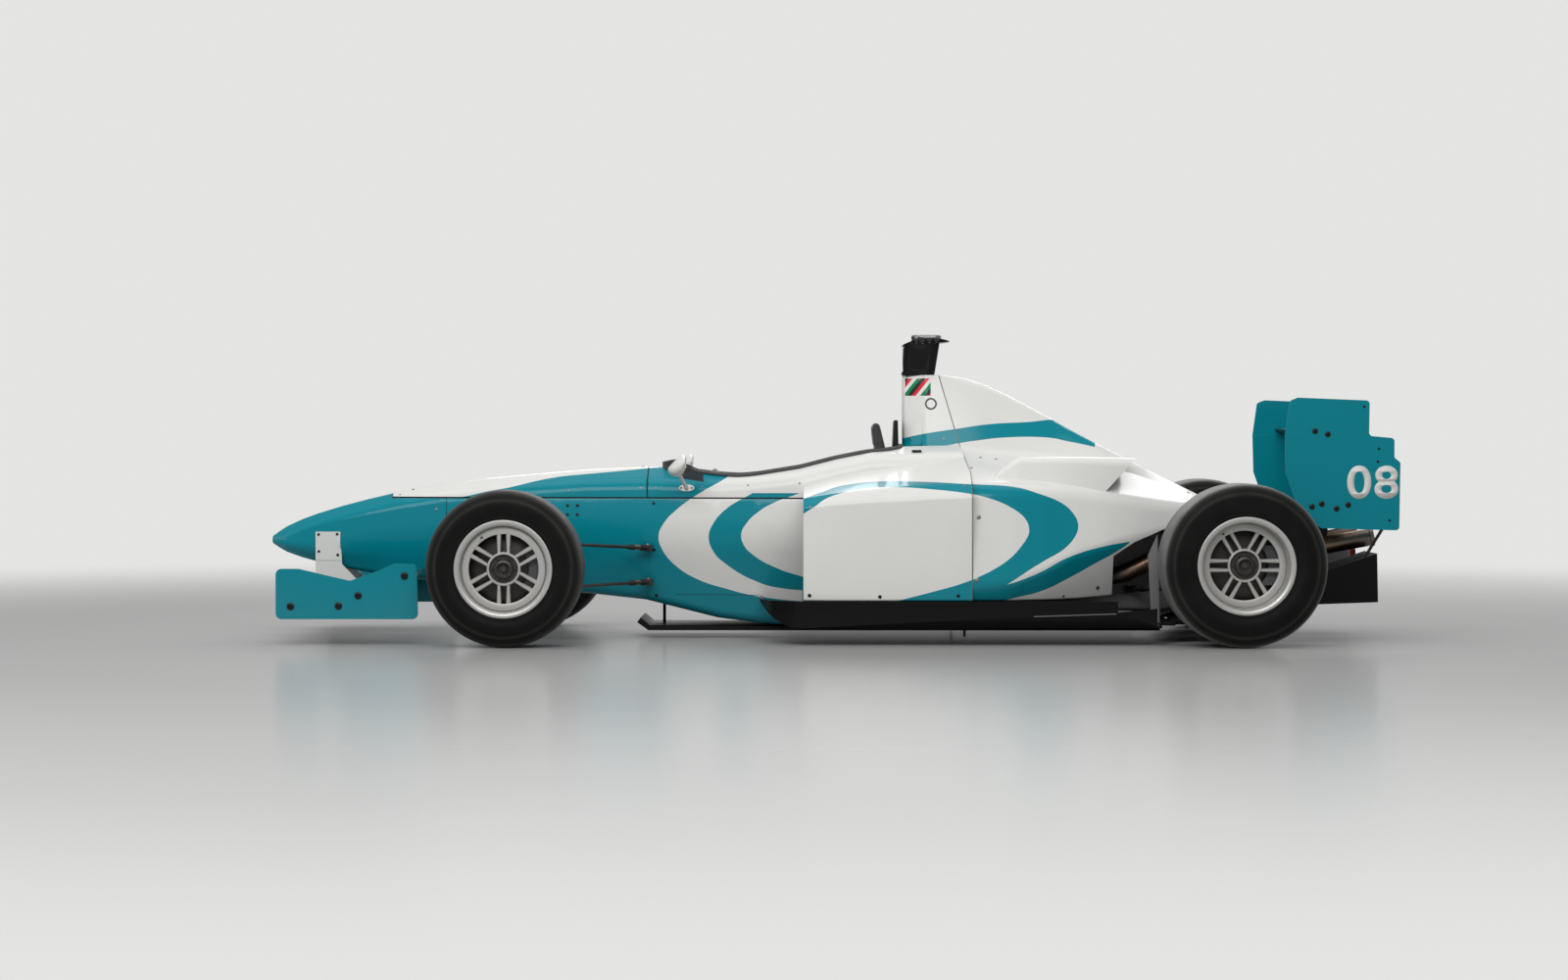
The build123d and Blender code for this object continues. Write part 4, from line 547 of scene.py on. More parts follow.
def composite(name, tint=0.009, rough=0.36, coat=0.25, dust=0.12, dust_top=0.3):
    """Woven black composite under a thin resin coat."""
    material, tree, shader = new_material(name)
    height, over = use(tree, weave_group, Thread=0.0035)
    threads = blend_colors(over, grey(tint, 1.05), grey(tint * 1.7, 1.8 / 1.7))
    dirt, cloud = use(tree, dust_group, Top=dust_top, Depth=0.3, Patch_Scale=9.0, Amount=dust)
    fill(shader, Base_Color=blend_colors(dirt, threads, (0.16, 0.145, 0.125)),
         Roughness=blend_values(dirt, rough, 0.75), Coat_Weight=coat, Coat_Roughness=0.15,
         Specular_IOR_Level=0.12)
    bump(shader, height, 0.12, 0.0004)
    return material


def metal(name, color, rough, metallic=1.0, grain=900.0, depth=0.0002, dark=0.6, dust=0.3):
    """Metal whose tone and gloss wander with its grain and the dust on it."""
    material, tree, shader = new_material(name)
    fine = use(tree, grain_group, Scale=grain, Detail=4.0)[0]
    dirt, cloud = use(tree, dust_group, Top=0.5, Depth=0.4, Patch_Scale=14.0, Amount=dust)
    toned = blend_colors(fine, tuple(c * dark for c in color), color)
    fill(shader, Base_Color=blend_colors(dirt, toned, (0.17, 0.15, 0.13)),
         Roughness=blend_values(fine, rough * 1.3, rough * 0.8),
         Metallic=blend_values(dirt, metallic, metallic * 0.3), Specular_IOR_Level=0.5 if metallic else 0.25)
    bump(shader, fine, 0.3, depth)
    return material


carbon = composite("satin_composite")
gloss_carbon = composite("gloss_composite", tint=0.004, rough=0.22, coat=0.9, dust=0.0)
floor_carbon = composite("floor_composite", tint=0.0025, rough=0.34, coat=0.08, dust=0.06, dust_top=0.16)
black_metal = metal("black_paint", (0.014, 0.014, 0.015), 0.38, metallic=0.0, grain=500.0, depth=0.0004)
intake_black = metal(
    "intake_black", (0.004, 0.004, 0.0045), 0.10, metallic=0.0, grain=30.0, depth=0.00002, dust=0.0)
bolt_black = metal("bolt_black", (0.012, 0.012, 0.013), 0.32, metallic=0.0, depth=0.0001, dust=0.0)
upright_grey = metal("upright_grey", (0.085, 0.085, 0.09), 0.5, metallic=0.6, grain=500.0, depth=0.0004)
# the inside of the rims' barrels and the hubs' bores: a dark finish as painted shade of those recesses
barrel_shade = metal("barrel_dust", (0.035, 0.032, 0.03), 0.55, metallic=0.4, grain=200.0, depth=0.0004)
cast_alloy = metal("cast_alloy", (0.34, 0.34, 0.35), 0.55, grain=700.0, depth=0.0008)
machined = metal("machined_alloy", (0.62, 0.62, 0.64), 0.28)
steel = metal("black_steel", (0.05, 0.05, 0.055), 0.35)
rim_silver = metal("rim_silver", (0.60, 0.595, 0.57), 0.38, metallic=0.6, grain=120.0, dark=0.75, dust=0.15)
disc_iron = metal("disc_iron", (0.045, 0.042, 0.04), 0.42, grain=260.0, depth=0.0005)
nut_metal = metal("wheel_nut", (0.05, 0.045, 0.045), 0.38, metallic=0.6, grain=500.0, depth=0.0004)
grey_metal = metal("fastener_grey", (0.30, 0.30, 0.29), 0.4)
mirror_glass = metal(
    "mirror_glass", (0.80, 0.82, 0.84), 0.04, grain=40.0, depth=0.00001, dark=0.97, dust=0.0)
bronze = metal("thread_bronze", (0.33, 0.24, 0.15), 0.4, grain=700.0)
print("metals and composites made")

# %% [markdown]
# A radiator's core is hundreds of thin fins between flat tubes. They sit deep in the sidepod, so they
# are drawn as height in the material: fine waves up the core for the fins, broader ones for the tubes.
# The same waves set the colour, near black between the fins and lighter on their crests: painted shade
# in the gaps.

# %% Radiator core
FIN_WAVE = 0.007
TUBE_WAVE = 0.028
radiator_core, tree, shader = new_material("radiator_core")
place, px, py, pz = place_of(tree)
fins = abs(math(tree, "SINE", pz * (tau / FIN_WAVE)))
tubes = abs(math(tree, "SINE", py * (tau / TUBE_WAVE)))
fin_relief_and_shade = fins * (tubes * 0.6 + 0.4)
# the colour follows the relief: painted shade in the gaps between fins
fill(shader, Base_Color=blend_colors(fin_relief_and_shade, grey(0.01), grey(0.20, 1.025)),
     Roughness=blend_values(fin_relief_and_shade, 0.7, 0.4), Metallic=0.6)
bump(shader, fin_relief_and_shade, 0.6, 0.002)
print("radiator fins every", FIN_WAVE * 500, "mm")

# %% [markdown]
# Slick tyre rubber is matt and nearly black on the sidewall, and grey on the tread where it has run,
# with a scrubbed ring on the shoulder. The tread is also lightened past its wear as painted sheen, most
# of all on the rear tyres, for the glancing reflection that a tread catches. The tone is drawn from the
# distance to the wheel's axle, so it turns with the wheel. Fine concentric rings come from the same
# distance through a wave.

# %% Rubber
FRONT_AXLE, FRONT_R = (1.195, 0.293), 0.293
REAR_AXLE, REAR_R = (-1.555, 0.305), 0.305
MOULD_RING = 0.0035


def rubber(name, axle, radius, tread_wear_and_sheen_tone):
    """Slick rubber with a worn tread, lightened further as painted sheen, a scuffed shoulder and moulded rings on
    the sidewall.
    """
    material, tree, shader = new_material(name)
    place, px, py, pz = place_of(tree)
    far = distance(px, pz, axle)
    # the last two points set the tread: worn rubber, lightened further as painted sheen
    tone = bend(far, [
        (0.17, 0.006), (0.20, 0.009), (radius - 0.060, 0.007), (radius - 0.046, 0.010),
        (radius - 0.038, 0.026), (radius - 0.026, 0.012), (radius - 0.014, 0.03),
        (radius - 0.006, tread_wear_and_sheen_tone * 0.7), (radius, tread_wear_and_sheen_tone)])
    fine = use(tree, grain_group, Scale=260.0, Detail=6.0)[0]
    broad = use(tree, grain_group, Scale=9.0, Detail=4.0)[0]
    mottled = tone * (broad * 0.9 + 0.35)
    color = result(tree, "ShaderNodeCombineColor", mottled, mottled * 0.98, mottled * 0.94)
    fill(shader, Base_Color=color, Roughness=blend_values(fine, 0.66, 0.5), Specular_IOR_Level=0.09)
    bump(shader, fine + math(tree, "SINE", far * (tau / MOULD_RING)) * 0.12, 0.35, 0.0006)
    return material


# tread tones: wear and painted sheen, the rear much lighter than the front
front_rubber = rubber("front_rubber", FRONT_AXLE, FRONT_R, 0.09)
rear_rubber = rubber("rear_rubber", REAR_AXLE, REAR_R, 0.21)
print("rubber made")

# %% [markdown]
# Exhaust steel takes colour from heat: it browns to bronze, and greys again near the hot end. The
# colour runs along the pipe, so it is drawn from the place along the car. The smoked screen is thin
# tinted plastic, and the rain light is a red lens.

# %% Heat tint, screen and lens
TAIL_X = -2.12
HEAT_TINTS = [(0.0, (0.20, 0.17, 0.16)), (0.25, (0.42, 0.27, 0.15)), (0.5, (0.52, 0.34, 0.17)),
              (0.75, (0.36, 0.22, 0.13)), (1.0, (0.22, 0.19, 0.19))]
heat, tree, shader = new_material("heat_tinted_steel")
place, px, py, pz = place_of(tree)
warm = result(tree, "ShaderNodeTexNoise", Vector=place, Scale=7.0, Detail=4.0)
along = math(tree, "ADD", (px - TAIL_X) * 0.9, (warm - 0.5) * 0.35, clamp=True)
fill(shader, Base_Color=ramp(along, HEAT_TINTS), Metallic=1.0, Roughness=blend_values(warm, 0.22, 0.5))

smoked, tree, shader = new_material("smoked_screen")
fill(shader, Base_Color=(0.10, 0.11, 0.11), Roughness=0.05, Transmission_Weight=0.75, IOR=1.49)

lens, tree, shader = new_material("red_lens")
cells = result(tree, "ShaderNodeTexVoronoi", Vector=place_of(tree)[0], Scale=160.0)
fill(shader, Base_Color=blend_colors(cells, (0.55, 0.01, 0.01), (0.22, 0.0, 0.0)), Roughness=0.15)
bump(shader, cells, 0.5, 0.001)
print("heat tints:", len(HEAT_TINTS))

# %% [markdown]
# Cloth and webbing: the headrest and the seat pads have a dark knitted cover, the belts are ribbed
# webbing, and the cockpit rim has a soft black edge trim. One function makes them from a thread size,
# a tone and a sheen. The ribs are a fine wave in the height, too small to model, and the same wave
# lightens the colour on the threads' crowns and darkens it between them as painted shade.


# %% Cloth, webbing and trim
def cloth(name, color, thread, rough=0.85, sheen=0.3, strength=0.4):
    """Woven or knitted cover with a soft sheen, and painted shade between its threads."""
    material, tree, shader = new_material(name)
    height, over = use(tree, weave_group, Thread=thread)
    broad = use(tree, grain_group, Scale=18.0, Detail=5.0)[0]
    # lighter on the threads' crowns, darker between them: painted shade
    toned = blend_colors(height, color, tuple(c * 1.9 + 0.004 for c in color))
    fill(shader, Base_Color=blend_colors(broad * 0.25, toned, (0.16, 0.15, 0.14)),
         Roughness=blend_values(broad, rough, rough - 0.2), Sheen_Weight=sheen, Sheen_Roughness=0.4)
    bump(shader, height, strength, 0.0006)
    return material


pad_cloth = cloth("pad_cloth", (0.018, 0.018, 0.02), 0.0026)
webbing = cloth("webbing", (0.03, 0.03, 0.034), 0.0016, rough=0.7, sheen=0.15)
edge_trim = cloth("edge_trim", (0.012, 0.012, 0.013), 0.0012, rough=0.6, sheen=0.1, strength=0.15)
suede = cloth("suede_grip", (0.02, 0.02, 0.021), 0.0011, rough=0.9, sheen=0.5, strength=0.2)
print("cloth made")

# %% [markdown]
# The model's solids arrive as loose triangles, so they shade as flat facets. Each one that keeps its
# form is copied, its doubled points merged, its soft edges smoothed and its hard edges kept, and the
# copy stands for the solid. A weighted normal keeps wide flats flat beside their narrow fillets.

# %% Dress the model's own pieces
SHARP_ANGLE = 28


def reworked(mesh, *steps):
    """Runs steps such as merging doubled points on a mesh."""
    work = bmesh.new()
    work.from_mesh(mesh)
    for step in steps:
        step(work)
    work.to_mesh(mesh)
    work.free()


def smooth(mesh, angle):
    """Smooth faces, with every edge sharper than an angle kept hard."""
    mesh.polygons.foreach_set("use_smooth", [True] * len(mesh.polygons))
    mesh.set_sharp_from_angle(angle=radians(angle))


def skin(node, material):
    """A smooth copy of a node, in that material, standing for it."""
    mesh = nodes[node].data.copy()
    mesh.name = node + "_skin"
    reworked(
        mesh, lambda work: bmesh.ops.remove_doubles(work, verts=work.verts, dist=2e-5),
        lambda work: bmesh.ops.dissolve_degenerate(work, edges=work.edges, dist=1e-6))
    mesh.materials.clear()
    mesh.materials.append(material)
    smooth(mesh, SHARP_ANGLE)
    dressed = put(node + "_skin", mesh)
    weight = dressed.modifiers.new("even_flats", "WEIGHTED_NORMAL")
    weight.keep_sharp = True
    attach(dressed, nodes[node]["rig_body"])
    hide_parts(node)
    return dressed


def tone_faces(thing, material, test):
    """Gives the faces that pass a test of their centre and normal a second material."""
    thing.data.materials.append(material)
    for face in thing.data.polygons:
        if test(face.center, face.normal):
            face.material_index = len(thing.data.materials) - 1


PLAIN_SKINS = [
    (front_paint, "teal_paint", ["tub", "front_hatch", "nose_cone"]),
    (front_paint, "white_paint", ["cockpit_surround"]),
    (rear_paint, "white_paint", ["sidepods", "engine_cover"]),
    (fairing_paint, "white_paint", ["roll_hoop_fairing"]),
    (white_paint, "white_paint", ["hot_air_outlets", "front_wing_pylons"]),
    (teal_paint, "teal_paint", ["front_wing_plates", "front_wing_flaps", "rear_wing_plates"]),
    (intake_black, "black_composite", ["air_intake"]),
    (carbon, "black_composite", ["rear_wing_planes", "front_wing_main", "dash", "seat"]),
    (floor_carbon, "black_composite", ["floor", "plank", "diffuser"]),
    (black_metal, "black_paint", ["suspension_front", "suspension_rear", "rear_wing_mount"]),
    (cast_alloy, "cast_metal", ["engine", "gearbox"]),
    (radiator_core, "cast_metal", ["radiators"]),
    (upright_grey, "machined_metal", ["upright_front_left", "upright_front_right", "uprights_rear"]),
    (machined, "machined_metal", ["steering_rack"]),
    (heat, "exhaust_metal", ["exhausts"]),
    (smoked, "screen", ["windscreen"]),
    (lens, "red_lens", ["rain_light"]),
    (cast_alloy, "black_composite", ["rear_vanes"]),
    (disc_iron, "brake_iron", [
        f"brake_{end}_{side}" for end in ("front", "rear") for side in ("left", "right")]),
]
for material, slot_name, names in PLAIN_SKINS:
    for name in names:
        skin(name, material)

# %% [markdown]
# Bodywork is painted outside only; inside it is bare composite. A face belongs to the inside if it
# looks towards the middle line of its own shell, so each shell's middle is named and the faces that
# look at it take the second finish.

# %% Bare insides
ANYWHERE = 9.0
# shell: distance of its middle line from the car's, its height, and the x in front of which paint turns in
SHELL_MIDDLES = {
    "tub": (0.0, 0.33, ANYWHERE), "cockpit_surround": (0.0, 0.45, ANYWHERE), "sidepods": (0.42, 0.40, 0.060),
    "engine_cover": (0.0, 0.36, ANYWHERE), "hot_air_outlets": (0.31, 0.62, ANYWHERE),
    "nose_cone": (0.0, 0.38, ANYWHERE), "front_hatch": (0.0, 0.45, ANYWHERE),
}


def looks_inwards(middle_y, middle_z, front_x):
    """A test of a face: does it look at its shell's middle line?"""
    def test(centre, normal):
        side = 1 if centre.y > 0 else -1
        inward = normal.y * side * (abs(centre.y) - middle_y) + normal.z * (centre.z - middle_z)
        return centre.x < front_x and inward < -0.0005
    return test


for name, row in SHELL_MIDDLES.items():
    tone_faces(bpy.data.objects[name + "_skin"], carbon, looks_inwards(*row))
tone_faces(bpy.data.objects["tub_skin"], carbon, lambda c, n: abs(n.x) > 0.8 and 0.07 < c.z < 0.53)
print("bare insides:", len(SHELL_MIDDLES))

# %% [markdown]
# New pieces are lists of points and faces until they are whole, because lists are easy to join and to
# mirror. `turned` sweeps a profile round a line, as a lathe does, and makes wheels, bolts and rings.
# `softened` cuts every corner of a profile by a small chamfer, so that edges catch the light.


# %% Helpers for new pieces
def turned(profile, start, along, steps=64, closed=False):
    """A profile of (distance along, radius) swept round a line, as points and faces."""
    axis = Vector(along).normalized()
    side = axis.orthogonal().normalized()
    up = axis.cross(side)
    rays = [side * cos(tau * s / steps) + up * sin(tau * s / steps) for s in range(steps)]
    points = [tuple(Vector(start) + axis * d + ray * r) for ray in rays for d, r in profile]
    n = len(profile)
    faces = []
    for s in range(steps):
        a, b = s * n, (s + 1) % steps * n
        for i in range(n if closed else n - 1):
            j = (i + 1) % n
            faces.append((a + i, a + j, b + j, b + i))
    if not closed:
        faces.append(tuple(s * n for s in range(steps)))
        faces.append(tuple(s * n + n - 1 for s in range(steps)))
    return points, faces


def lofted(rings):
    """Closed rings of equal length joined in order, with both ends closed, as points and faces."""
    n = len(rings[0])
    points = [tuple(p) for ring in rings for p in ring]
    faces = []
    for k in range(len(rings) - 1):
        a, b = k * n, (k + 1) * n
        faces += [(a + i, a + (i + 1) % n, b + (i + 1) % n, b + i) for i in range(n)]
    faces.append(tuple(range(n)))
    faces.append(tuple(range((len(rings) - 1) * n, len(rings) * n)))
    return points, faces


def joined(*parts):
    """Several lists of points and faces as one."""
    points, faces = [], []
    for more_points, more_faces in parts:
        base = len(points)
        points += more_points
        faces += [tuple(base + i for i in face) for face in more_faces]
    return points, faces


def flipped(part):
    """The same on the car's other side."""
    points, faces = part
    return [(x, -y, z) for x, y, z in points], [tuple(reversed(face)) for face in faces]


def mirrored(part):
    """A part on both sides of the car."""
    return joined(part, flipped(part))


def on_side(part, side):
    """A part made for the left, as it is on one side."""
    return part if side == "left" else flipped(part)


def softened(profile, size, closed=True):
    """Each corner of a profile replaced by a small chamfer."""
    points = []
    n = len(profile)
    for i, corner in enumerate(profile):
        if not closed and i in (0, n - 1):
            points.append(corner)
            continue
        here = Vector(corner)
        for other in (profile[i - 1], profile[(i + 1) % n]):
            step = Vector(other) - here
            points.append(tuple(here + step.normalized() * min(size, step.length * 0.35)))
    return points


def curved(profile, cuts):
    """A Catmull-Rom curve through a profile's points, from its first to its last."""
    spots = [Vector(p) for p in profile]
    spots = [spots[0], *spots, spots[-1]]
    points = []
    for a, b, c, d in zip(spots, spots[1:], spots[2:], spots[3:]):
        for t in [k / cuts for k in range(cuts)]:
            bow = (2 * a - 5 * b + 4 * c - d) * t * t + (3 * b - a - 3 * c + d) * t ** 3
            points.append(tuple(0.5 * (2 * b + (c - a) * t + bow)))
    return points + [tuple(spots[-1])]


def made(name, part, material, body, angle=35, bevel=0.0):
    """A finished piece from points and faces, riding on a body."""
    mesh = bpy.data.meshes.new(name)
    mesh.from_pydata(part[0], [], part[1])
    reworked(
        mesh, lambda work: bmesh.ops.remove_doubles(work, verts=work.verts, dist=1e-6),
        lambda work: bmesh.ops.recalc_face_normals(work, faces=work.faces))
    mesh.materials.append(material)
    smooth(mesh, angle)
    piece = put(name, mesh)
    if bevel:
        edge = piece.modifiers.new("soft_edges", "BEVEL")
        edge.width = bevel
        edge.segments = 2
        edge.angle_limit = radians(40)
        edge.harden_normals = True
    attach(piece, body)
    return piece


def plate_y(outline, y0, y1):
    """An outline of (x, z) between two planes across the car, as points and faces."""
    return lofted([[(x, y, z) for x, z in outline] for y in (y0, y1)])


def rounded_outline(half_x, half_z, corner, centre=(0.0, 0.0), steps=5):
    """A rectangle with round corners."""
    points = []
    for k, (sx, sz) in enumerate(((1, 1), (-1, 1), (-1, -1), (1, -1))):
        for i in range(steps + 1):
            turn = tau / 4 * (k + i / steps)
            points.append((centre[0] + sx * (half_x - corner) + corner * cos(turn),
                           centre[1] + sz * (half_z - corner) + corner * sin(turn)))
    return points


print("helpers ready")

# %% [markdown]
# Bolts repeat over the whole car, so they are one Geometry Nodes tree. Each point of a bare mesh
# carries the way its bolt faces. A cylinder's top is pushed out and narrowed into a dome, then pushed
# in again for the key's socket, and a copy of that head stands on every point.


# %% Bolt tree
def grow_tree(name, sizes):
    """A Geometry Nodes tree, and as values what goes in: a geometry, the named sizes and a finish."""
    tree = bpy.data.node_groups.new(name, "GeometryNodeTree")
    kinds = {float: "Float", int: "Int", tuple: "Vector"}
    tree.interface.new_socket("Geometry", in_out="INPUT", socket_type="NodeSocketGeometry")
    for label, start in sizes.items():
        socket = tree.interface.new_socket(label, in_out="INPUT", socket_type="NodeSocket" + kinds[type(start)])
        socket.default_value = start
    tree.interface.new_socket("Finish", in_out="INPUT", socket_type="NodeSocketMaterial")
    tree.interface.new_socket("Geometry", in_out="OUTPUT", socket_type="NodeSocketGeometry")
    given = list(tree.nodes.new("NodeGroupInput").outputs)[:len(sizes) + 2]
    return tree, [Value(socket) for socket in given]


def end_tree(geometry, finish):
    """Makes instances real and gives them the finish."""
    tree = geometry.tree
    real = result(tree, "GeometryNodeRealizeInstances", geometry)
    dressed = result(tree, "GeometryNodeSetMaterial", real, Material=finish)
    feed(tree.nodes.new("NodeGroupOutput").inputs[0], dressed)


def grown(name, seed, tree, body, slot_name, **sizes):
    """The plain mesh that a tree makes from a seed mesh, as a piece."""
    host = put(name + "_seed", seed)
    growth = host.modifiers.new("growth", "NODES")
    growth.node_group = tree
    for item in tree.interface.items_tree:
        key = item.name.replace(" ", "_")
        if item.in_out == "INPUT" and key in sizes:
            growth[item.identifier] = sizes[key]
    bpy.context.view_layer.update()
    graph = bpy.context.evaluated_depsgraph_get()
    mesh = bpy.data.meshes.new_from_object(host.evaluated_get(graph))
    host.modifiers.clear()
    bpy.data.objects.remove(host)
    mesh.name = name
    smooth(mesh, 40)
    piece = put(name, mesh)
    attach(piece, body)
    return piece


# of the head's height how far its top is pushed, and how much narrower it gets
HEAD_STEPS = ((0.45, 0.74), (0.0, 0.58), (-0.75, 0.9))
bolt_tree, (points, head_radius, head_height, finish) = grow_tree(
    "button_head_bolts", {"Head Radius": 0.008, "Head Height": 0.004})
head = add(bolt_tree, "GeometryNodeMeshCylinder", Vertices=14, Radius=head_radius, Depth=head_height)
shape, top = Value(head.outputs["Mesh"]), Value(head.outputs["Top"])
for rise, narrow in HEAD_STEPS:
    push = add(bolt_tree, "GeometryNodeExtrudeMesh", Mesh=shape, Selection=top, Offset_Scale=head_height * rise)
    top = Value(push.outputs["Top"])
    shape = result(bolt_tree, "GeometryNodeScaleElements", Geometry=Value(push.outputs["Mesh"]), Selection=top,
                   Scale=narrow)
facing = result(bolt_tree, "GeometryNodeInputNamedAttribute", data_type="FLOAT_VECTOR", Name="facing")
aim = result(bolt_tree, "FunctionNodeAlignRotationToVector", axis="Z", Vector=facing)
copies = result(bolt_tree, "GeometryNodeInstanceOnPoints", Points=points, Instance=shape, Rotation=aim)
end_tree(copies, finish)
print("bolt tree:", len(bolt_tree.nodes), "nodes")

# %% [markdown]
# A bolt's place is found on the model: a line from beside, above, below, in front of or behind the
# car meets the piece, and the bolt faces the way that the surface does there. So a bolt follows its
# panel if the panel's size is changed.

# %% Bolts
LEFT_AND_RIGHT = (1, -1)
surfaces = {}


def meets(node, start, direction):
    """Where a line from a point first meets a node, and which way the surface faces there."""
    if node not in surfaces:
        mesh = nodes[node].data
        surfaces[node] = BVHTree.FromPolygons(
            [v.co for v in mesh.vertices], [p.vertices for p in mesh.polygons])
    return surfaces[node].ray_cast(Vector(start), Vector(direction))[:2]


def beside(node, x, z, side):
    """Where a line from beside the car meets a node."""
    return meets(node, (x, 2.0 * side, z), (0, -side, 0))


def bolt_set(name, places, radius, height, material, body="chassis", slot_name="machined_metal"):
    """Bolts on a list of (point, facing)."""
    seed = bpy.data.meshes.new(name + "_seed")
    seed.from_pydata([p for p, facing in places], [], [])
    facing_data = seed.attributes.new("facing", "FLOAT_VECTOR", "POINT")
    for i, (point, facing) in enumerate(places):
        facing_data.data[i].vector = facing
    return grown(
        name, seed, bolt_tree, body, slot_name, Head_Radius=radius, Head_Height=height, Finish=material)


# set, node that it goes into, head's radius and height in mm, finish, (x, z) in mm
SIDE_BOLTS = [
    ("front_plate_bolts", "front_wing_plates", 14.0, 6.0, bolt_black, [
        (2008, 147), (1828, 149), (1754, 188), (1580, 262)]),
    ("rear_plate_bolts", "rear_wing_plates", 11.0, 5.0, bolt_black, [
        (-1856, 805), (-1904, 793), (-1845, 518), (-1882, 529), (-1938, 511), (-1982, 525)]),
    ("rear_plate_screws", "rear_wing_plates", 5.0, 2.5, bolt_black, [
        (-2042, 898), (-2098, 738), (-2094, 689), (-2139, 466)]),
    ("tub_fasteners", "tub", 6.0, 2.5, bolt_black, [
        (1004, 516), (965, 516), (1004, 481), (965, 481), (667, 525), (665, 345), (660, 165), (1430, 500),
        (1430, 300)]),
    ("nose_fasteners", "nose_cone", 5.0, 2.0, grey_metal, [(1520, 500), (1520, 300)]),
    ("sidepod_bolts", "sidepods", 7.0, 3.0, bolt_black, [(61, 187), (-203, 183), (-497, 187)]),
    ("sidepod_top_screws", "sidepods", 4.5, 2.0, grey_metal, [(60, 520), (-520, 600)]),
    ("cover_fasteners", "engine_cover", 8.0, 3.0, grey_metal, [(-1036, 209), (-575, 481), (-567, 246)]),
    ("cover_screws", "engine_cover", 4.5, 2.0, bolt_black, [(-558, 664), (-900, 180)]),
    ("fairing_screws", "roll_hoop_fairing", 5.0, 2.0, grey_metal, [(-335, 776), (-460, 776)]),
    ("surround_screws", "cockpit_surround", 4.0, 1.6, grey_metal, [
        (660, 585), (480, 590), (300, 596), (100, 604), (-100, 612), (-300, 620), (-510, 625)]),
    ("hatch_screws", "front_hatch", 4.0, 1.6, grey_metal, [(720, 585), (1000, 575), (1300, 562), (1670, 556)]),
]
UP, DOWN, AHEAD = (0, 0, 1), (0, 0, -1), (1, 0, 0)
BELOW, ABOVE, BEHIND = -1.0, 2.0, -3.0
PLANK_X = (0.62, 0.30, 0.0, -0.30, -0.60, -0.90, -1.20)
RIVET_Y = (0.16, 0.26, 0.36, -0.16, -0.26, -0.36)
# set, node, start points, direction of the line, head's radius and height in mm, finish
OTHER_BOLTS = [
    ("plank_bolts", "plank", [
        (x, y, BELOW) for x in PLANK_X for y in (0.15, -0.15)], UP, 9.0, 2.0, grey_metal),
    ("diffuser_rivets", "diffuser", [
        (x, y, BELOW) for x in (-1.40, -1.46) for y in RIVET_Y], UP, 5.0, 2.0, grey_metal),
    ("hatch_top_screws", "front_hatch", [
        (x, y, ABOVE) for x in (0.72, 1.62) for y in (0.06, -0.06)], DOWN, 5.0, 2.0, bolt_black),
    ("cover_top_screws", "engine_cover", [
        (x, y, ABOVE) for x, out in ((-0.60, 0.24), (-0.66, 0.24), (-1.42, 0.08)) for y in (out, -out)],
     DOWN, 5.5, 2.0, grey_metal),
    ("gearbox_bolts", "gearbox", [
        (x, y, ABOVE) for x in (-1.62, -1.70, -1.78) for y in (0.05, -0.05)], DOWN, 7.0, 6.0, machined),
    ("nose_top_pins", "nose_cone", [
        (1.53, 0.05, ABOVE), (1.53, -0.05, ABOVE)], DOWN, 6.0, 2.0, grey_metal),
    ("wing_main_bolts", "front_wing_main", [
        (x, y, ABOVE) for x in (1.97, 1.90) for y in (0.55, -0.55, 0.66, -0.66)], DOWN, 5.0, 2.0, bolt_black),
    ("rain_light_screws", "rain_light", [
        (BEHIND, 0.026, 0.326), (BEHIND, -0.026, 0.326)], AHEAD, 4.0, 2.0, bolt_black),
]
MOUNT_BOLTS = ((-1.895, 0.365), (-1.945, 0.365), (-1.875, 0.580), (-1.990, 0.580))


def on_both_sides(node, spots):
    """Where lines from beside the car meet a node, on its left and on its right."""
    return [beside(node, x, z, side) for x, z in spots for side in LEFT_AND_RIGHT]


bolt_rows = [
    (name, on_both_sides(node, [(x / 1000, z / 1000) for x, z in spots]), radius, height, finish)
    for name, node, radius, height, finish, spots in SIDE_BOLTS]
bolt_rows += [
    (name, [meets(node, start, way) for start in starts], radius, height, finish)
    for name, node, starts, way, radius, height, finish in OTHER_BOLTS]
bolt_rows.append(("wing_mount_bolts", on_both_sides("rear_wing_mount", MOUNT_BOLTS), 7.0, 5.0, grey_metal))
for name, found, radius, height, finish in bolt_rows:
    places = [(spot, facing) for spot, facing in found if spot is not None]
    bolt_set(name, places, radius / 1000, height / 1000, finish)
    print(name, len(places), "of", len(found))

# %% [markdown]
# Slick tyres. The casing is turned from a curve through about fifteen points: a bead on the rim, a
# bulging sidewall, a round shoulder and a nearly flat tread. A thin rib near the rim guards the bead.
# The tyre is one closed form, as its solid is, with the wall's inside following at some millimetres.

# %% Tyres
# (distance from the tyre's side, radius), then (distance from its side, height over its tread)
SIDEWALL = [
    (-0.0140, 0.1655), (-0.0135, 0.175), (-0.0105, 0.184), (-0.0062, 0.1905), (-0.0066, 0.1945),
    (-0.0036, 0.203), (-0.0010, 0.215), (-0.0004, 0.228), (-0.0010, 0.241)]
SHOULDER = [
    (-0.0035, -0.040), (-0.0085, -0.029), (-0.0165, -0.0175), (-0.027, -0.0085), (-0.041, -0.0026),
    (-0.060, -0.0006)]
# end, axle, half width, radius, how deep the rim is dished, rubber
WHEELS = [
    ("front", FRONT_AXLE, 0.125, FRONT_R, 0.030, front_rubber),
    ("rear", REAR_AXLE, 0.1725, REAR_R, 0.080, rear_rubber)]
HALF_TRACK = 0.880
ACROSS = (0, 1, 0)

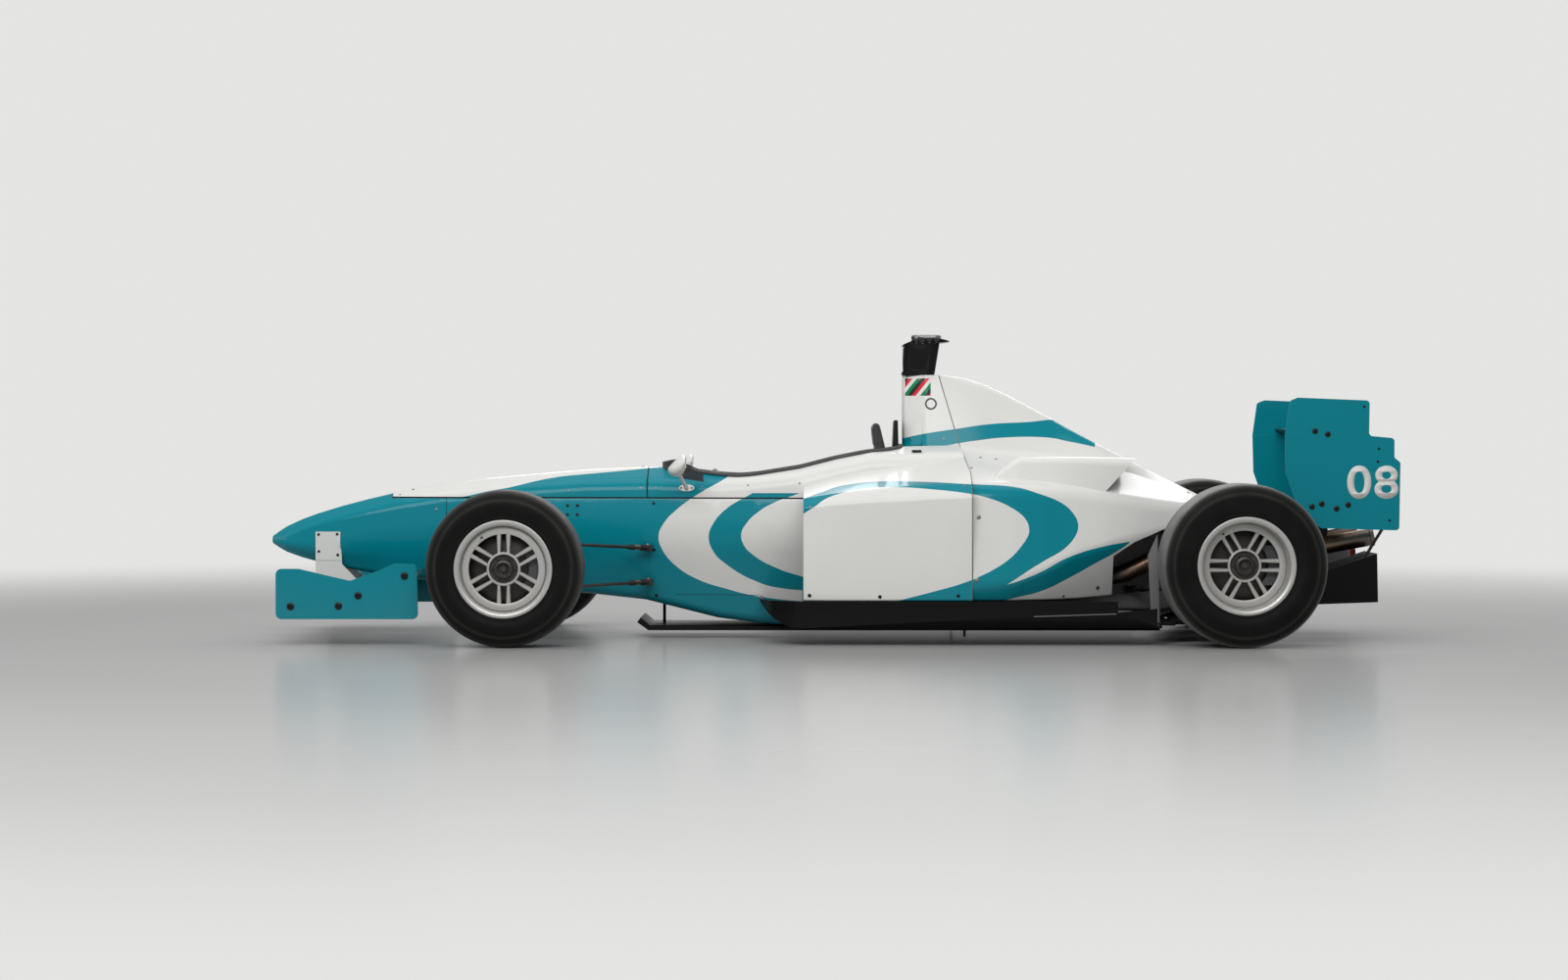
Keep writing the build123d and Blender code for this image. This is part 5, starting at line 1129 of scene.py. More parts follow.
for end, axle, half, radius, dish, tread in WHEELS:
    mid = HALF_TRACK - half
    outer = [(half + y, r) for y, r in SIDEWALL] + [(half + y, radius + r) for y, r in SHOULDER]
    inner = [(y - 0.009, r - 0.002) for y, r in outer[3:]]
    inner = [(y - (0.006 if r > radius - 0.03 else 0.0), min(r, radius - 0.010)) for y, r in inner]
    inner = [(half - 0.022, 0.168), (half - 0.021, 0.180)] + inner
    wall = curved(outer, 4) + [(half * 0.3, radius - 0.0001), (0.0, radius)]
    lining = curved(inner, 2)
    loop = wall + [(-y, r) for y, r in reversed(wall[:-1])] + [(-y, r) for y, r in lining] + lining[::-1]
    casing = turned([(mid + y, r) for y, r in loop], (axle[0], 0, axle[1]), ACROSS, 144, closed=True)
    for side in ("left", "right"):
        tyre = made(f"slick_tyre_{end}_{side}", on_side(casing, side), tread, f"wheel_{end}_{side}",
                    angle=60)
        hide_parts(f"tyre_{end}_{side}")
print("tyres made, points in a profile:", len(loop))

# %% [markdown]
# The rims. The barrel, the lips and the ring behind them are turned from one profile with softened
# corners. The spokes repeat in pairs, so they are a Geometry Nodes tree: a line from hub to ring is
# swept with a rounded bar section that widens outwards, doubled into a pair, and six pairs are turned
# round the axle.


# %% Spoke tree
def combine(tree, **parts):
    """A vector from some of its X, Y and Z."""
    return result(tree, "ShaderNodeCombineXYZ", **parts)


def swept(curve, width, height, corner):
    """A bar with a rounded rectangle for its section, along a curve."""
    tree = curve.tree
    section = result(tree, "GeometryNodeCurvePrimitiveQuadrilateral", Width=width, Height=height)
    section = result(tree, "GeometryNodeFilletCurve", Curve=section, Radius=corner)
    return result(tree, "GeometryNodeCurveToMesh", Fill_Caps=True, Curve=curve, Profile_Curve=section)


tree, (seed, pairs, pitch, hub_r, ring_r, width, depth, edge, hub_share, first_angle, centre, finish) = grow_tree(
    "spoke_pairs", {
        "Pairs": 6, "Pitch": 0.035, "Hub Radius": 0.056, "Ring Radius": 0.138, "Width": 0.017, "Depth": 0.018,
        "Edge": 0.004, "Hub Share": 0.76, "First Angle": 0.0, "Centre": (0.0, 0.0, 0.0)})
spoke_tree = tree
line = result(
    tree, "GeometryNodeCurvePrimitiveLine", Start=combine(tree, Z=hub_r), End=combine(tree, Z=ring_r))
bar = swept(result(tree, "GeometryNodeResampleCurve", Curve=line, Count=7), width, depth, edge)
where = add(tree, "ShaderNodeSeparateXYZ", result(tree, "GeometryNodeInputPosition"))
x, y, z = [Value(socket) for socket in where.outputs]
share = hub_share + (z - hub_r) / (ring_r - hub_r) * (1.0 - hub_share)
tapered = result(tree, "GeometryNodeSetPosition", Geometry=bar, Position=combine(tree, X=x * share, Y=y, Z=z))
pair = add(tree, "GeometryNodeJoinGeometry")
for half_way in (-0.5, 0.5):
    shift = combine(tree, X=pitch * half_way)
    feed(pair.inputs[0], result(tree, "GeometryNodeTransform", Geometry=tapered, Translation=shift))
turn = combine(tree, Y=result(tree, "GeometryNodeInputIndex") * tau / pairs + first_angle)
placed = result(tree, "GeometryNodeInstanceOnPoints", Points=result(tree, "GeometryNodePoints", Count=pairs),
                Instance=Value(pair.outputs[0]), Rotation=turn)
end_tree(result(tree, "GeometryNodeTransform", Geometry=placed, Translation=centre), finish)
print("spoke tree:", len(spoke_tree.nodes), "nodes")

# %% Rims, hubs and wheel nuts
RIM_INSET = 0.006
VALVE_R, VALVE_ANGLE = 0.142, 0.6
PEG_R = 0.0435
PEGS = 6

for end, axle, half, radius, dish, tread in WHEELS:
    mid = HALF_TRACK - half
    edge = mid + half - RIM_INSET
    back = mid - half + RIM_INSET
    face = edge - dish
    centre = (axle[0], 0, axle[1])
    barrel = [
        (back, 0.183), (back, 0.175), (back + 0.006, 0.155), (back + 0.014, 0.152), (face - 0.018, 0.152),
        (face - 0.018, 0.1295), (face, 0.1295), (face + 0.0015, 0.131), (face + 0.0015, 0.1548), (face, 0.1555),
        (face - 0.007, 0.1560), (face - 0.007, 0.1582), (face + 0.001, 0.1588), (face + 0.003, 0.1595),
        (edge - 0.008, 0.1615), (edge - 0.0035, 0.1665), (edge - 0.0005, 0.1725), (edge, 0.181),
        (edge - 0.002, 0.183), (edge - 0.005, 0.183), (edge - 0.0075, 0.1645), (edge - 0.040, 0.1645),
        (edge - 0.052, 0.157), (back + 0.052, 0.157), (back + 0.040, 0.1645), (back + 0.0075, 0.1645),
        (back + 0.005, 0.183)]
    hub = [
        (-0.026, 0.030), (-0.026, 0.062), (-0.004, 0.064), (0.0025, 0.061), (0.0025, 0.054), (-0.010, 0.0525),
        (-0.010, 0.030)]
    nut = [
        (-0.010, 0.012), (-0.010, 0.037), (0.006, 0.037), (0.012, 0.032), (0.014, 0.025), (-0.001, 0.022),
        (-0.003, 0.012)]
    on_face = (axle[0], face, axle[1])
    shell = turned(softened(barrel, 0.0008), centre, ACROSS, 120, closed=True)
    hub = turned(softened(hub, 0.0012), on_face, ACROSS, 72, closed=True)
    nut = turned(softened(nut, 0.0008), on_face, ACROSS, 12, closed=True)
    valve = turned([(0.0, 0.004), (0.012, 0.004), (0.0125, 0.0032), (0.030, 0.0032), (0.031, 0.0022)],
                   (axle[0] + VALVE_R * sin(VALVE_ANGLE), face - 0.004, axle[1] + VALVE_R * cos(VALVE_ANGLE)),
                   ACROSS, 14)
    spindle = turned([(-0.012, 0.0135), (0.006, 0.0135), (0.009, 0.011)], on_face, ACROSS, 32)
    peg = softened([(-0.011, 0.0), (-0.011, 0.0045), (-0.004, 0.0045), (-0.003, 0.0)], 0.0006, closed=False)
    pegs = [turned(peg, (axle[0] + PEG_R * cos(turn), face, axle[1] + PEG_R * sin(turn)), ACROSS, 12)
            for turn in [tau * i / PEGS for i in range(PEGS)]]

    def in_painted_shade(c, n):
        """Inside the barrel, or in the hub's bore: recesses darkened as painted shade."""
        far = hypot(c.x - axle[0], c.z - axle[1])
        return far < 0.0530 or (abs(c.y) < face - 0.019 and 0.07 < far < 0.1535)

    for side, mirror in (("left", 1), ("right", -1)):
        body = f"wheel_{end}_{side}"
        rim = made(f"rim_shell_{end}_{side}", on_side(joined(shell, hub), side), rim_silver, body,
                   angle=30)
        # the barrel's inside and the hub's bore take painted shade
        tone_faces(rim, barrel_shade, in_painted_shade)
        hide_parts(f"rim_{end}_{side}")
        spokes = grown(
            f"rim_spokes_{end}_{side}", bpy.data.meshes.new("seed"), spoke_tree, body, "rim_alloy",
            Centre=(axle[0], (face - 0.0095) * mirror, axle[1]), First_Angle=tau / 12 if end == "rear" else 0.0,
            Finish=rim_silver)
        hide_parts(f"rim_{end}_{side}")
        made(f"wheel_nut_{end}_{side}", on_side(joined(nut, spindle, *pegs), side), nut_metal, body,
             angle=25)
        made(f"tyre_valve_{end}_{side}", on_side(valve, side), steel, body)
print("rims made, spoke mesh points:", len(spokes.data.vertices))

# %% [markdown]
# The race number stands on the outer face of each rear plate. A text object gives clean digits from
# Blender's own font. Text becomes a mesh before it is turned and moved, so that its object stays at
# the origin, and a small offset makes the strokes as bold as painted numbers are.

# %% Race number
NUMBER = "08"
NUMBER_LOW, NUMBER_HIGH = (-2.172, 0.548), (-1.978, 0.674)
PLATE_FACE_Y = 0.503
FILM = 0.0004

letters = bpy.data.curves.new("race_number", "FONT")
letters.body = NUMBER
letters.offset = 0.019
letters.space_character = 1.08
holder = put("race_number_text", letters)
graph = bpy.context.evaluated_depsgraph_get()
digits = bpy.data.meshes.new_from_object(holder.evaluated_get(graph))
bpy.data.objects.remove(holder)
flat = [v.co.copy() for v in digits.vertices]
low_u, high_u = min(p.x for p in flat), max(p.x for p in flat)
low_v, high_v = min(p.y for p in flat), max(p.y for p in flat)
for side_name, side in (("left", 1), ("right", -1)):
    sheet = digits.copy()
    sheet.name = "race_number_" + side_name
    for vertex, p in zip(sheet.vertices, flat):
        u = (p.x - low_u) / (high_u - low_u)
        v = (p.y - low_v) / (high_v - low_v)
        across = 1 - u if side == 1 else u
        vertex.co = (NUMBER_LOW[0] + across * (NUMBER_HIGH[0] - NUMBER_LOW[0]), side * (PLATE_FACE_Y + FILM / 2),
                     NUMBER_LOW[1] + v * (NUMBER_HIGH[1] - NUMBER_LOW[1]))
    sheet.materials.clear()
    sheet.materials.append(white_paint)
    decal = put(sheet.name, sheet)
    film = decal.modifiers.new("film", "SOLIDIFY")
    film.thickness = FILM
    film.offset = 0.0
    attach(decal, "chassis")
print("race number", NUMBER, "with", len(flat), "points")

# %% [markdown]
# The cockpit opening has a soft black edge trim. Its path is found on the bodywork: from the middle
# of the opening a point walks outwards in every direction until a line dropped from above meets the
# panel. Those points become a closed curve, and a Geometry Nodes tree sweeps the trim's section
# along it.

# %% Cockpit edge trim
TRIM_CENTRE = Vector((0.15, 0.0, 1.2))
TRIM_STEPS = 160
WALK_FROM, WALK_TO, WALKS, HALVINGS = 0.02, 0.60, 60, 12
PANEL_OVER_Z = 0.57
TRIM_OUT, TRIM_UP = 0.004, 0.003


def edge_below(ray, reach):
    """Where a line dropped at a reach along a ray meets the cockpit surround's top, if it does."""
    spot = meets("cockpit_surround", TRIM_CENTRE + ray * reach, DOWN)[0]
    return spot if spot is not None and spot.z > PANEL_OVER_Z else None


path = []
stride = (WALK_TO - WALK_FROM) / (WALKS - 1)
for i in range(TRIM_STEPS):
    ray = Vector((cos(tau * i / TRIM_STEPS), sin(tau * i / TRIM_STEPS), 0))
    far_end = next(r for r in (WALK_FROM + stride * k for k in range(WALKS)) if edge_below(ray, r))
    near_end = far_end - stride
    for k in range(HALVINGS):
        middle = (near_end + far_end) / 2
        near_end, far_end = (near_end, middle) if edge_below(ray, middle) else (middle, far_end)
    on_panel = meets("cockpit_surround", TRIM_CENTRE + ray * (far_end + TRIM_OUT), DOWN)[0]
    path.append(on_panel + Vector((0, 0, TRIM_UP)))
for k in range(2):
    path = [(path[i - 1] + path[i] * 2 + path[(i + 1) % TRIM_STEPS]) / 4 for i in range(TRIM_STEPS)]

tree, (line, width, height, corner, finish) = grow_tree(
    "section_along_path", {"Width": 0.016, "Height": 0.010, "Corner": 0.004})
curve = result(tree, "GeometryNodeMeshToCurve", line)
upright = result(tree, "GeometryNodeSetCurveNormal", curve, mode="Z_UP")
end_tree(swept(upright, width, height, corner), finish)
loop_mesh = bpy.data.meshes.new("cockpit_edge_seed")
loop_mesh.from_pydata([tuple(p) for p in path], [(i, (i + 1) % TRIM_STEPS) for i in range(TRIM_STEPS)], [])
grown("cockpit_edge_trim", loop_mesh, tree, "chassis", "pad", Width=0.018, Height=0.016, Corner=0.006,
      Finish=edge_trim)
print("edge trim length:", round(sum((path[i] - path[i - 1]).length for i in range(TRIM_STEPS)), 3), "m")

# %% [markdown]
# The mirrors are moulded pears on thin stalks, each with a glass facing the cockpit. The shell is
# lofted from oval rings whose sizes run smoothly, then turned in over a lip to hold the glass. The
# stalk stands on an oval plate with three screws.

# %% Mirrors
# x, z, half width, half height
MIRROR_RINGS = [
    (0.5370, 0.6850, 0.0610, 0.0230), (0.5440, 0.6805, 0.0640, 0.0330), (0.5520, 0.6740, 0.0650, 0.0370),
    (0.5750, 0.6620, 0.0580, 0.0330), (0.5960, 0.6560, 0.0380, 0.0170), (0.6040, 0.6550, 0.0160, 0.0070)]
# distance behind the mouth, then shares of its half width and half height
LIP_RINGS = [(0.0006, 0.965, 0.92), (0.003, 0.95, 0.89)]
GLASS_RINGS = [(0.0012, 0.945, 0.88), (0.0035, 0.945, 0.88)]
MIRROR_Y = 0.385
STALK_LOW, STALK_HIGH = Vector((0.542, 0.262, 0.592)), Vector((0.563, 0.360, 0.642))
FOOT_X, FOOT_Z, FOOT_HALF_X, FOOT_HALF_Z = 0.5385, 0.5845, 0.030, 0.0135


def oval_ring(x, z, half_y, half_z, steps=36):
    """An oval ring across the car."""
    turns = [tau * i / steps for i in range(steps)]
    return [(x, MIRROR_Y + half_y * cos(turn), z + half_z * sin(turn)) for turn in turns]


x, z, half_y, half_z = MIRROR_RINGS[0]
lip, glass_rings = [
    [oval_ring(x + d, z, half_y * wide, half_z * high) for d, wide, high in rows]
    for rows in (LIP_RINGS, GLASS_RINGS)]
shell = lofted([oval_ring(*row) for row in reversed(curved(MIRROR_RINGS, 4))] + lip)
stalk = turned([(-0.012, 0.009), (0.0, 0.0085), (0.03, 0.0068), (0.10, 0.0065), (0.118, 0.009)], STALK_LOW,
               STALK_HIGH - STALK_LOW, 24)
foot_rings = []
for rise, size in ((-0.006, 1.0), (0.0015, 1.0), (0.003, 0.93)):
    found = [beside("cockpit_surround", FOOT_X + FOOT_HALF_X * cos(turn) * size,
                    FOOT_Z + FOOT_HALF_Z * sin(turn) * size, 1) for turn in [tau * i / 40 for i in range(40)]]
    foot_rings.append([spot + facing * rise for spot, facing in found])
for side in ("left", "right"):
    head = made(f"mirror_shell_{side}", on_side(joined(shell, stalk, lofted(foot_rings)), side), white_paint,
                "chassis", 50)
    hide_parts("mirrors")
    glass = on_side(lofted(glass_rings), side)
    made(f"mirror_glass_{side}", glass, mirror_glass, "chassis")
found = [beside("cockpit_surround", FOOT_X + dx, FOOT_Z + dz, side)
         for dx, dz in ((-0.021, 0.0), (0.0, -0.006), (0.021, 0.0)) for side in LEFT_AND_RIGHT]
foot_screws = [(spot + facing * 0.003, facing) for spot, facing in found]
bolt_set("mirror_foot_screws", foot_screws, 0.0036, 0.0016, steel)
print("mirrors made, foot screws:", len(foot_screws))

# %% [markdown]
# The headrest is a padded block in front of a thin panel. Real upholstery is a sewn cover over foam,
# so the pad is inflated: the block is remeshed evenly and a cloth simulation presses it out from
# inside for twenty frames. No point may travel further than a cap, and sewn channels are pressed in.

# %% Padded pieces
PAD_VOXEL = 0.005
PAD_FRAMES = 20
PAD_PRESSURE = 4.0
PAD_CAP = 0.006


def inflated(name, part):
    """A pad swollen by cloth simulation inside a cap, as a plain mesh."""
    mesh = bpy.data.meshes.new(name)
    mesh.from_pydata(part[0], [], part[1])
    reworked(mesh, lambda work: bmesh.ops.recalc_face_normals(work, faces=work.faces))
    host = put(name + "_host", mesh)
    even = host.modifiers.new("even", "REMESH")
    even.mode = "VOXEL"
    even.voxel_size = PAD_VOXEL
    graph = bpy.context.evaluated_depsgraph_get()
    block = bpy.data.meshes.new_from_object(host.evaluated_get(graph))
    host.modifiers.clear()
    host.data = block
    start = [v.co.copy() for v in block.vertices]
    press = host.modifiers.new("press", "CLOTH")
    press.settings.use_pressure = True
    press.settings.uniform_pressure_force = PAD_PRESSURE
    press.settings.effector_weights.gravity = 0.0
    press.point_cache.frame_start = 1
    press.point_cache.frame_end = PAD_FRAMES
    scene = bpy.context.scene
    for frame_number in range(1, PAD_FRAMES + 1):
        scene.frame_set(frame_number)
    graph = bpy.context.evaluated_depsgraph_get()
    swollen = bpy.data.meshes.new_from_object(host.evaluated_get(graph))
    host.modifiers.clear()
    for vertex, moved, home in zip(block.vertices, swollen.vertices, start):
        step = moved.co - home
        vertex.co = home + step * min(1.0, PAD_CAP / max(step.length, 1e-9))
    scene.frame_set(1)
    bpy.data.objects.remove(host)
    return block


def evened(work):
    """Moves points halfway to their neighbours, which rounds the remesh's steps."""
    bmesh.ops.smooth_vert(
        work, verts=work.verts, factor=0.5, use_axis_x=True, use_axis_y=True, use_axis_z=True)


def pad_piece(name, part, rounds, grooves=None):
    """A padded piece: inflated, evened out, grooved where it is sewn, and subdivided once."""
    mesh = inflated(name, part)
    reworked(mesh, *[evened] * rounds)
    if grooves:
        grooves(mesh)
    mesh.name = name
    mesh.materials.clear()
    mesh.materials.append(pad_cloth)
    mesh.polygons.foreach_set("use_smooth", [True] * len(mesh.polygons))
    piece = put(name, mesh)
    fine = piece.modifiers.new("fine", "SUBSURF")
    fine.levels = 1
    fine.render_levels = 1
    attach(piece, "chassis")
    return piece


# %% Headrest
# (x, z) in side view, a little inside the solid's outline
PAD_SIDE = [
    (-0.209, 0.556), (-0.195, 0.732), (-0.184, 0.826), (-0.188, 0.842), (-0.203, 0.842), (-0.229, 0.736),
    (-0.242, 0.700), (-0.242, 0.556)]
PAD_HALF_Y = 0.118
PAD_FRONT_X = -0.222
CHANNELS_Z = (0.655, 0.745)
CHANNEL_DEPTH, CHANNEL_HALF = 0.0045, 0.010
PANEL_SIDE = [
    (-0.2495, 0.5485), (-0.2495, 0.700), (-0.262, 0.716), (-0.268, 0.845), (-0.272, 0.849), (-0.279, 0.849),
    (-0.283, 0.845), (-0.286, 0.716), (-0.330, 0.700), (-0.330, 0.5485)]
PANEL_HALF_Y = 0.113


def headrest_grooves(mesh):
    """Two sewn channels across the pad's face."""
    for vertex in mesh.vertices:
        if vertex.co.x > PAD_FRONT_X:
            for z in CHANNELS_Z:
                vertex.co.x -= CHANNEL_DEPTH * max(0.0, 1 - abs(vertex.co.z - z) / CHANNEL_HALF)


headrest = pad_piece("headrest_pad", plate_y(PAD_SIDE, -PAD_HALF_Y, PAD_HALF_Y), 4, headrest_grooves)
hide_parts("headrest")
panel = made("headrest_panel", plate_y(PANEL_SIDE, -PANEL_HALF_Y, PANEL_HALF_Y), carbon, "chassis",
             bevel=0.002)
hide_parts("headrest")
print("headrest pad points:", len(headrest.data.vertices))

# %% [markdown]
# The seat is a bare composite shell, so thin pads are laid on its base and its back, and a harness
# goes over them. The belts are flat webbing: each is a ribbon that follows a short line of points,
# laid just clear of the pads, and all of them end in one round buckle.

# %% Seat pads
# (x, z) of the pad's lower face, from its front end
BASE_LINE = [(0.290, 0.1555), (0.160, 0.1605), (0.045, 0.168)]
BACK_LINE = [(0.000, 0.214), (-0.075, 0.356), (-0.150, 0.499), (-0.196, 0.587)]
PAD_LIFT, PAD_TOP, SEAT_PAD_HALF_Y = 0.002, 0.016, 0.130


def runs(spots):
    """The way that a line of points goes at each of them."""
    last = len(spots) - 1
    return [(spots[min(i + 1, last)] - spots[max(i - 1, 0)]).normalized() for i in range(last + 1)]


def pad_band(line):
    """A slab along a line of (x, z), closed at its ends and sides."""
    half_y = SEAT_PAD_HALF_Y
    spots = [Vector((x, 0, z)) for x, z in line]
    rings = []
    for spot, run in zip(spots, runs(spots)):
        up = Vector((-run.z, 0, run.x)) if run.x > 0 else Vector((run.z, 0, -run.x))
        low, high = spot + up * PAD_LIFT, spot + up * PAD_TOP
        rings.append([(low.x, -half_y, low.z), (low.x, half_y, low.z), (high.x, half_y, high.z),
                      (high.x, -half_y, high.z)])
    return lofted(rings)


base_pad = pad_piece("seat_base_pad", pad_band(BASE_LINE), 3)
back_pad = pad_piece("seat_back_pad", pad_band(BACK_LINE), 3)
print("seat pads:", len(base_pad.data.vertices), len(back_pad.data.vertices))

# %% Harness
BUCKLE = Vector((0.035, 0.0, 0.262))
FRONT_UP = (0.88, 0.0, 0.47)
TOP_UP = (0.25, 0.0, 0.97)
WEBBING_THICK = 0.0025


def belt(points, facings, width=0.045):
    """A ribbon on a smooth curve through a few points, each with the way its flat side faces."""
    spots = [Vector(p) for p in curved(points, 6)]
    rings = []
    for spot, run, up in zip(spots, runs(spots), curved(facings, 6)):
        across = run.cross(Vector(up).normalized()).normalized() * width / 2
        lift = across.cross(run).normalized() * WEBBING_THICK / 2
        rings.append([spot - across - lift, spot + across - lift, spot + across + lift, spot - across + lift])
    return lofted(rings)


shoulder = belt(
    [(-0.232, 0.080, 0.722), (-0.200, 0.078, 0.690), (-0.168, 0.070, 0.600), (-0.105, 0.052, 0.472),
     (-0.040, 0.030, 0.350), (0.022, 0.012, 0.272)],
    [(0.75, 0, 0.65), (0.85, 0, 0.5), FRONT_UP, FRONT_UP, FRONT_UP, FRONT_UP])
lap = belt([(-0.020, 0.155, 0.222), (0.000, 0.115, 0.244), (0.020, 0.060, 0.258), (0.030, 0.014, 0.262)],
           [(0.5, -0.5, 0.7), (0.6, -0.2, 0.75), FRONT_UP, FRONT_UP])
crotch = belt([(0.150, 0.0, 0.190), (0.110, 0.0, 0.200), (0.070, 0.0, 0.228), (0.042, 0.0, 0.256)],
              [TOP_UP, TOP_UP, (0.6, 0, 0.8), FRONT_UP], width=0.040)
made("harness_belts", joined(mirrored(shoulder), mirrored(lap), crotch), webbing, "chassis", angle=60)
buckle = turned(softened(
    [(-0.006, 0.0), (-0.006, 0.030), (0.004, 0.030), (0.008, 0.026), (0.008, 0.016), (0.012, 0.014),
     (0.012, 0.0)], 0.001, closed=False), BUCKLE, FRONT_UP, 40)
tongue = softened([(0.0, 0.0), (0.0, 0.009), (0.016, 0.007), (0.016, 0.0)], 0.001, closed=False)
tongues = [turned(tongue, BUCKLE + Vector(way) * 0.024, way, 16)
           for way in ((-0.45, 0.25, 0.85), (-0.45, -0.25, 0.85), (0, 1, 0), (0, -1, 0), (0.47, 0, -0.88))]
made("harness_buckle", joined(buckle, *tongues), machined, "chassis")
print("harness belts:", len(tongues))

# %% [markdown]
# The steering wheel's rim is wrapped in suede and its spokes are composite, so one skin carries two
# finishes, split by the distance from the wheel's centre. A thin plate, six buttons and two gearshift
# paddles go on it. Everything here rides with the wheel.

# %% Steering wheel
WHEEL_CENTRE = Vector((0.412, 0.0, 0.514))
WHEEL_TILT = radians(10.3)
WHEEL_AHEAD = Vector((cos(WHEEL_TILT), 0.0, -sin(WHEEL_TILT)))
WHEEL_UP = Vector((sin(WHEEL_TILT), 0.0, cos(WHEEL_TILT)))
GRIP_FROM = 0.112
GRIP_FRONT = 0.05


def is_grip(c, n):
    """On the wheel's rim, not on its spokes or its column."""
    ahead = (c - WHEEL_CENTRE).dot(WHEEL_AHEAD)
    return ahead < GRIP_FRONT and (c - WHEEL_CENTRE - WHEEL_AHEAD * ahead).length > GRIP_FROM


def on_wheel(across, up, ahead):
    """A point on the steering wheel: left of its centre, above it, and in front of it."""
    return WHEEL_CENTRE + Vector((0, across, 0)) + WHEEL_UP * up + WHEEL_AHEAD * ahead


def wheel_plate(half_across, half_up, corner, near_side, far_side, centre=(0.0, 0.0)):
    """A rounded plate parallel to the wheel, between two distances in front of it."""
    outline = rounded_outline(half_across, half_up, corner, centre)
    return lofted([[on_wheel(a, u, d) for a, u in outline] for d in (near_side, far_side)])


tone_faces(skin("steering_wheel", carbon), suede, is_grip)
made("wheel_face_plate", wheel_plate(0.078, 0.034, 0.016, -0.0125, -0.0075), carbon, "steering_wheel",
     bevel=0.001)
made("wheel_display", wheel_plate(0.034, 0.012, 0.003, -0.0135, -0.012, (0.0, 0.014)), gloss_carbon,
     "steering_wheel", bevel=0.0005)
BUTTONS = [(a * s, u) for a, u in ((0.060, 0.018), (0.062, 0.0), (0.060, -0.018)) for s in LEFT_AND_RIGHT]
button_places = [(on_wheel(a, u, -0.0125), -WHEEL_AHEAD) for a, u in BUTTONS]
bolt_set("wheel_buttons", button_places, 0.0062, 0.005, lens, "steering_wheel", "wheel_grip")
paddle = wheel_plate(0.022, 0.030, 0.010, 0.022, 0.0245, (0.088, 0.010))
arm = wheel_plate(0.036, 0.007, 0.003, 0.008, 0.023, (0.052, 0.010))
made("shift_paddles", mirrored(joined(paddle, arm)), carbon, "steering_wheel", bevel=0.0008)
quick_release = turned(softened(
    [(0.008, 0.018), (0.010, 0.027), (0.028, 0.027), (0.030, 0.022), (0.040, 0.020), (0.040, 0.012)],
    0.001, closed=False), WHEEL_CENTRE, WHEEL_AHEAD, 36)
made("quick_release_boss", quick_release, machined, "steering_wheel")
print("steering wheel buttons:", len(BUTTONS))

# %% [markdown]
# The suspension arms end in rod ends: a jam nut, a threaded barrel and a sleeve round the arm. They
# are turned pieces strung along each leg, from its foot on the chassis towards the wheel. All the legs
# on one side are made at once and mirrored.

# %% Rod ends
FRONT_BALL_Y, REAR_BALL_Y = 0.676, 0.600
# ball, feet in metres
ARMS = [
    ((1.195, FRONT_BALL_Y, 0.391), ((1.345, 0.176, 0.372), (0.689, 0.232, 0.352))),
    ((1.195, FRONT_BALL_Y, 0.205), ((1.345, 0.140, 0.232), (0.689, 0.196, 0.219))),
    ((-1.555, REAR_BALL_Y, 0.400), ((-1.240, 0.132, 0.420), (-1.730, 0.094, 0.420))),
    ((-1.555, REAR_BALL_Y, 0.205), ((-1.180, 0.138, 0.190), (-1.650, 0.096, 0.240))),
]
NUT = softened([(0.0, 0.004), (0.0, 0.0125), (0.010, 0.0125), (0.010, 0.004)], 0.0008, closed=False)
THREAD = [(0.010 + 0.0015 * k, 0.0088 + 0.0007 * (k % 2)) for k in range(21)]
SLEEVE = softened(
    [(0.040, 0.004), (0.040, 0.0108), (0.058, 0.0108), (0.070, 0.0085), (0.070, 0.004)], 0.0008, closed=False)
# piece, profile, steps round the leg, finish, slot
ROD_END_PIECES = [
    ("rod_end_nuts", NUT, 6, steel, "machined_metal"),
    ("rod_end_threads", THREAD, 20, bronze, "machined_metal"),
    ("rod_end_sleeves", SLEEVE, 28, black_metal, "black_paint")]
legs = []
for ball, feet in ARMS:
    for foot in feet:
        along = (Vector(ball) - Vector(foot)).normalized()
        legs.append((Vector(foot) + along * 0.030, along))
for name, profile, steps, material, slot_name in ROD_END_PIECES:
    one_side = joined(*[turned(profile, begin, along, steps) for begin, along in legs])
    made(name, mirrored(one_side), material, "chassis")
foot_bolts = [((x, (y + 0.010) * side, z + 0.013), UP)
              for ball, feet in ARMS for x, y, z in feet for side in LEFT_AND_RIGHT]
bolt_set("foot_bolts", foot_bolts, 0.0065, 0.0045, grey_metal)
print("rod ends:", 2 * len(legs))

# %% [markdown]
# Small trim on the bodywork: a pale cap on top of the intake, a latch that holds the cockpit surround,
# clamps on the exhaust pipes, and a bright ring on each tail pipe.

# %% Small trim
CAP_Z = 1.1720
LATCH_X, LATCH_Z = -0.352, 0.728
PIPE_EARLIER, PIPE_BEFORE = Vector((-1.520, 0.223, 0.359)), Vector((-1.900, 0.208, 0.356))
PIPE_END = Vector((-2.118, 0.205, 0.396))
CLAMP = softened([(-0.009, 0.0342), (-0.009, 0.0368), (0.009, 0.0368), (0.009, 0.0342)], 0.001)
TAIL_RING = softened([(-0.010, 0.0342), (-0.010, 0.0375), (0.004, 0.0375), (0.006, 0.0342)], 0.0012)

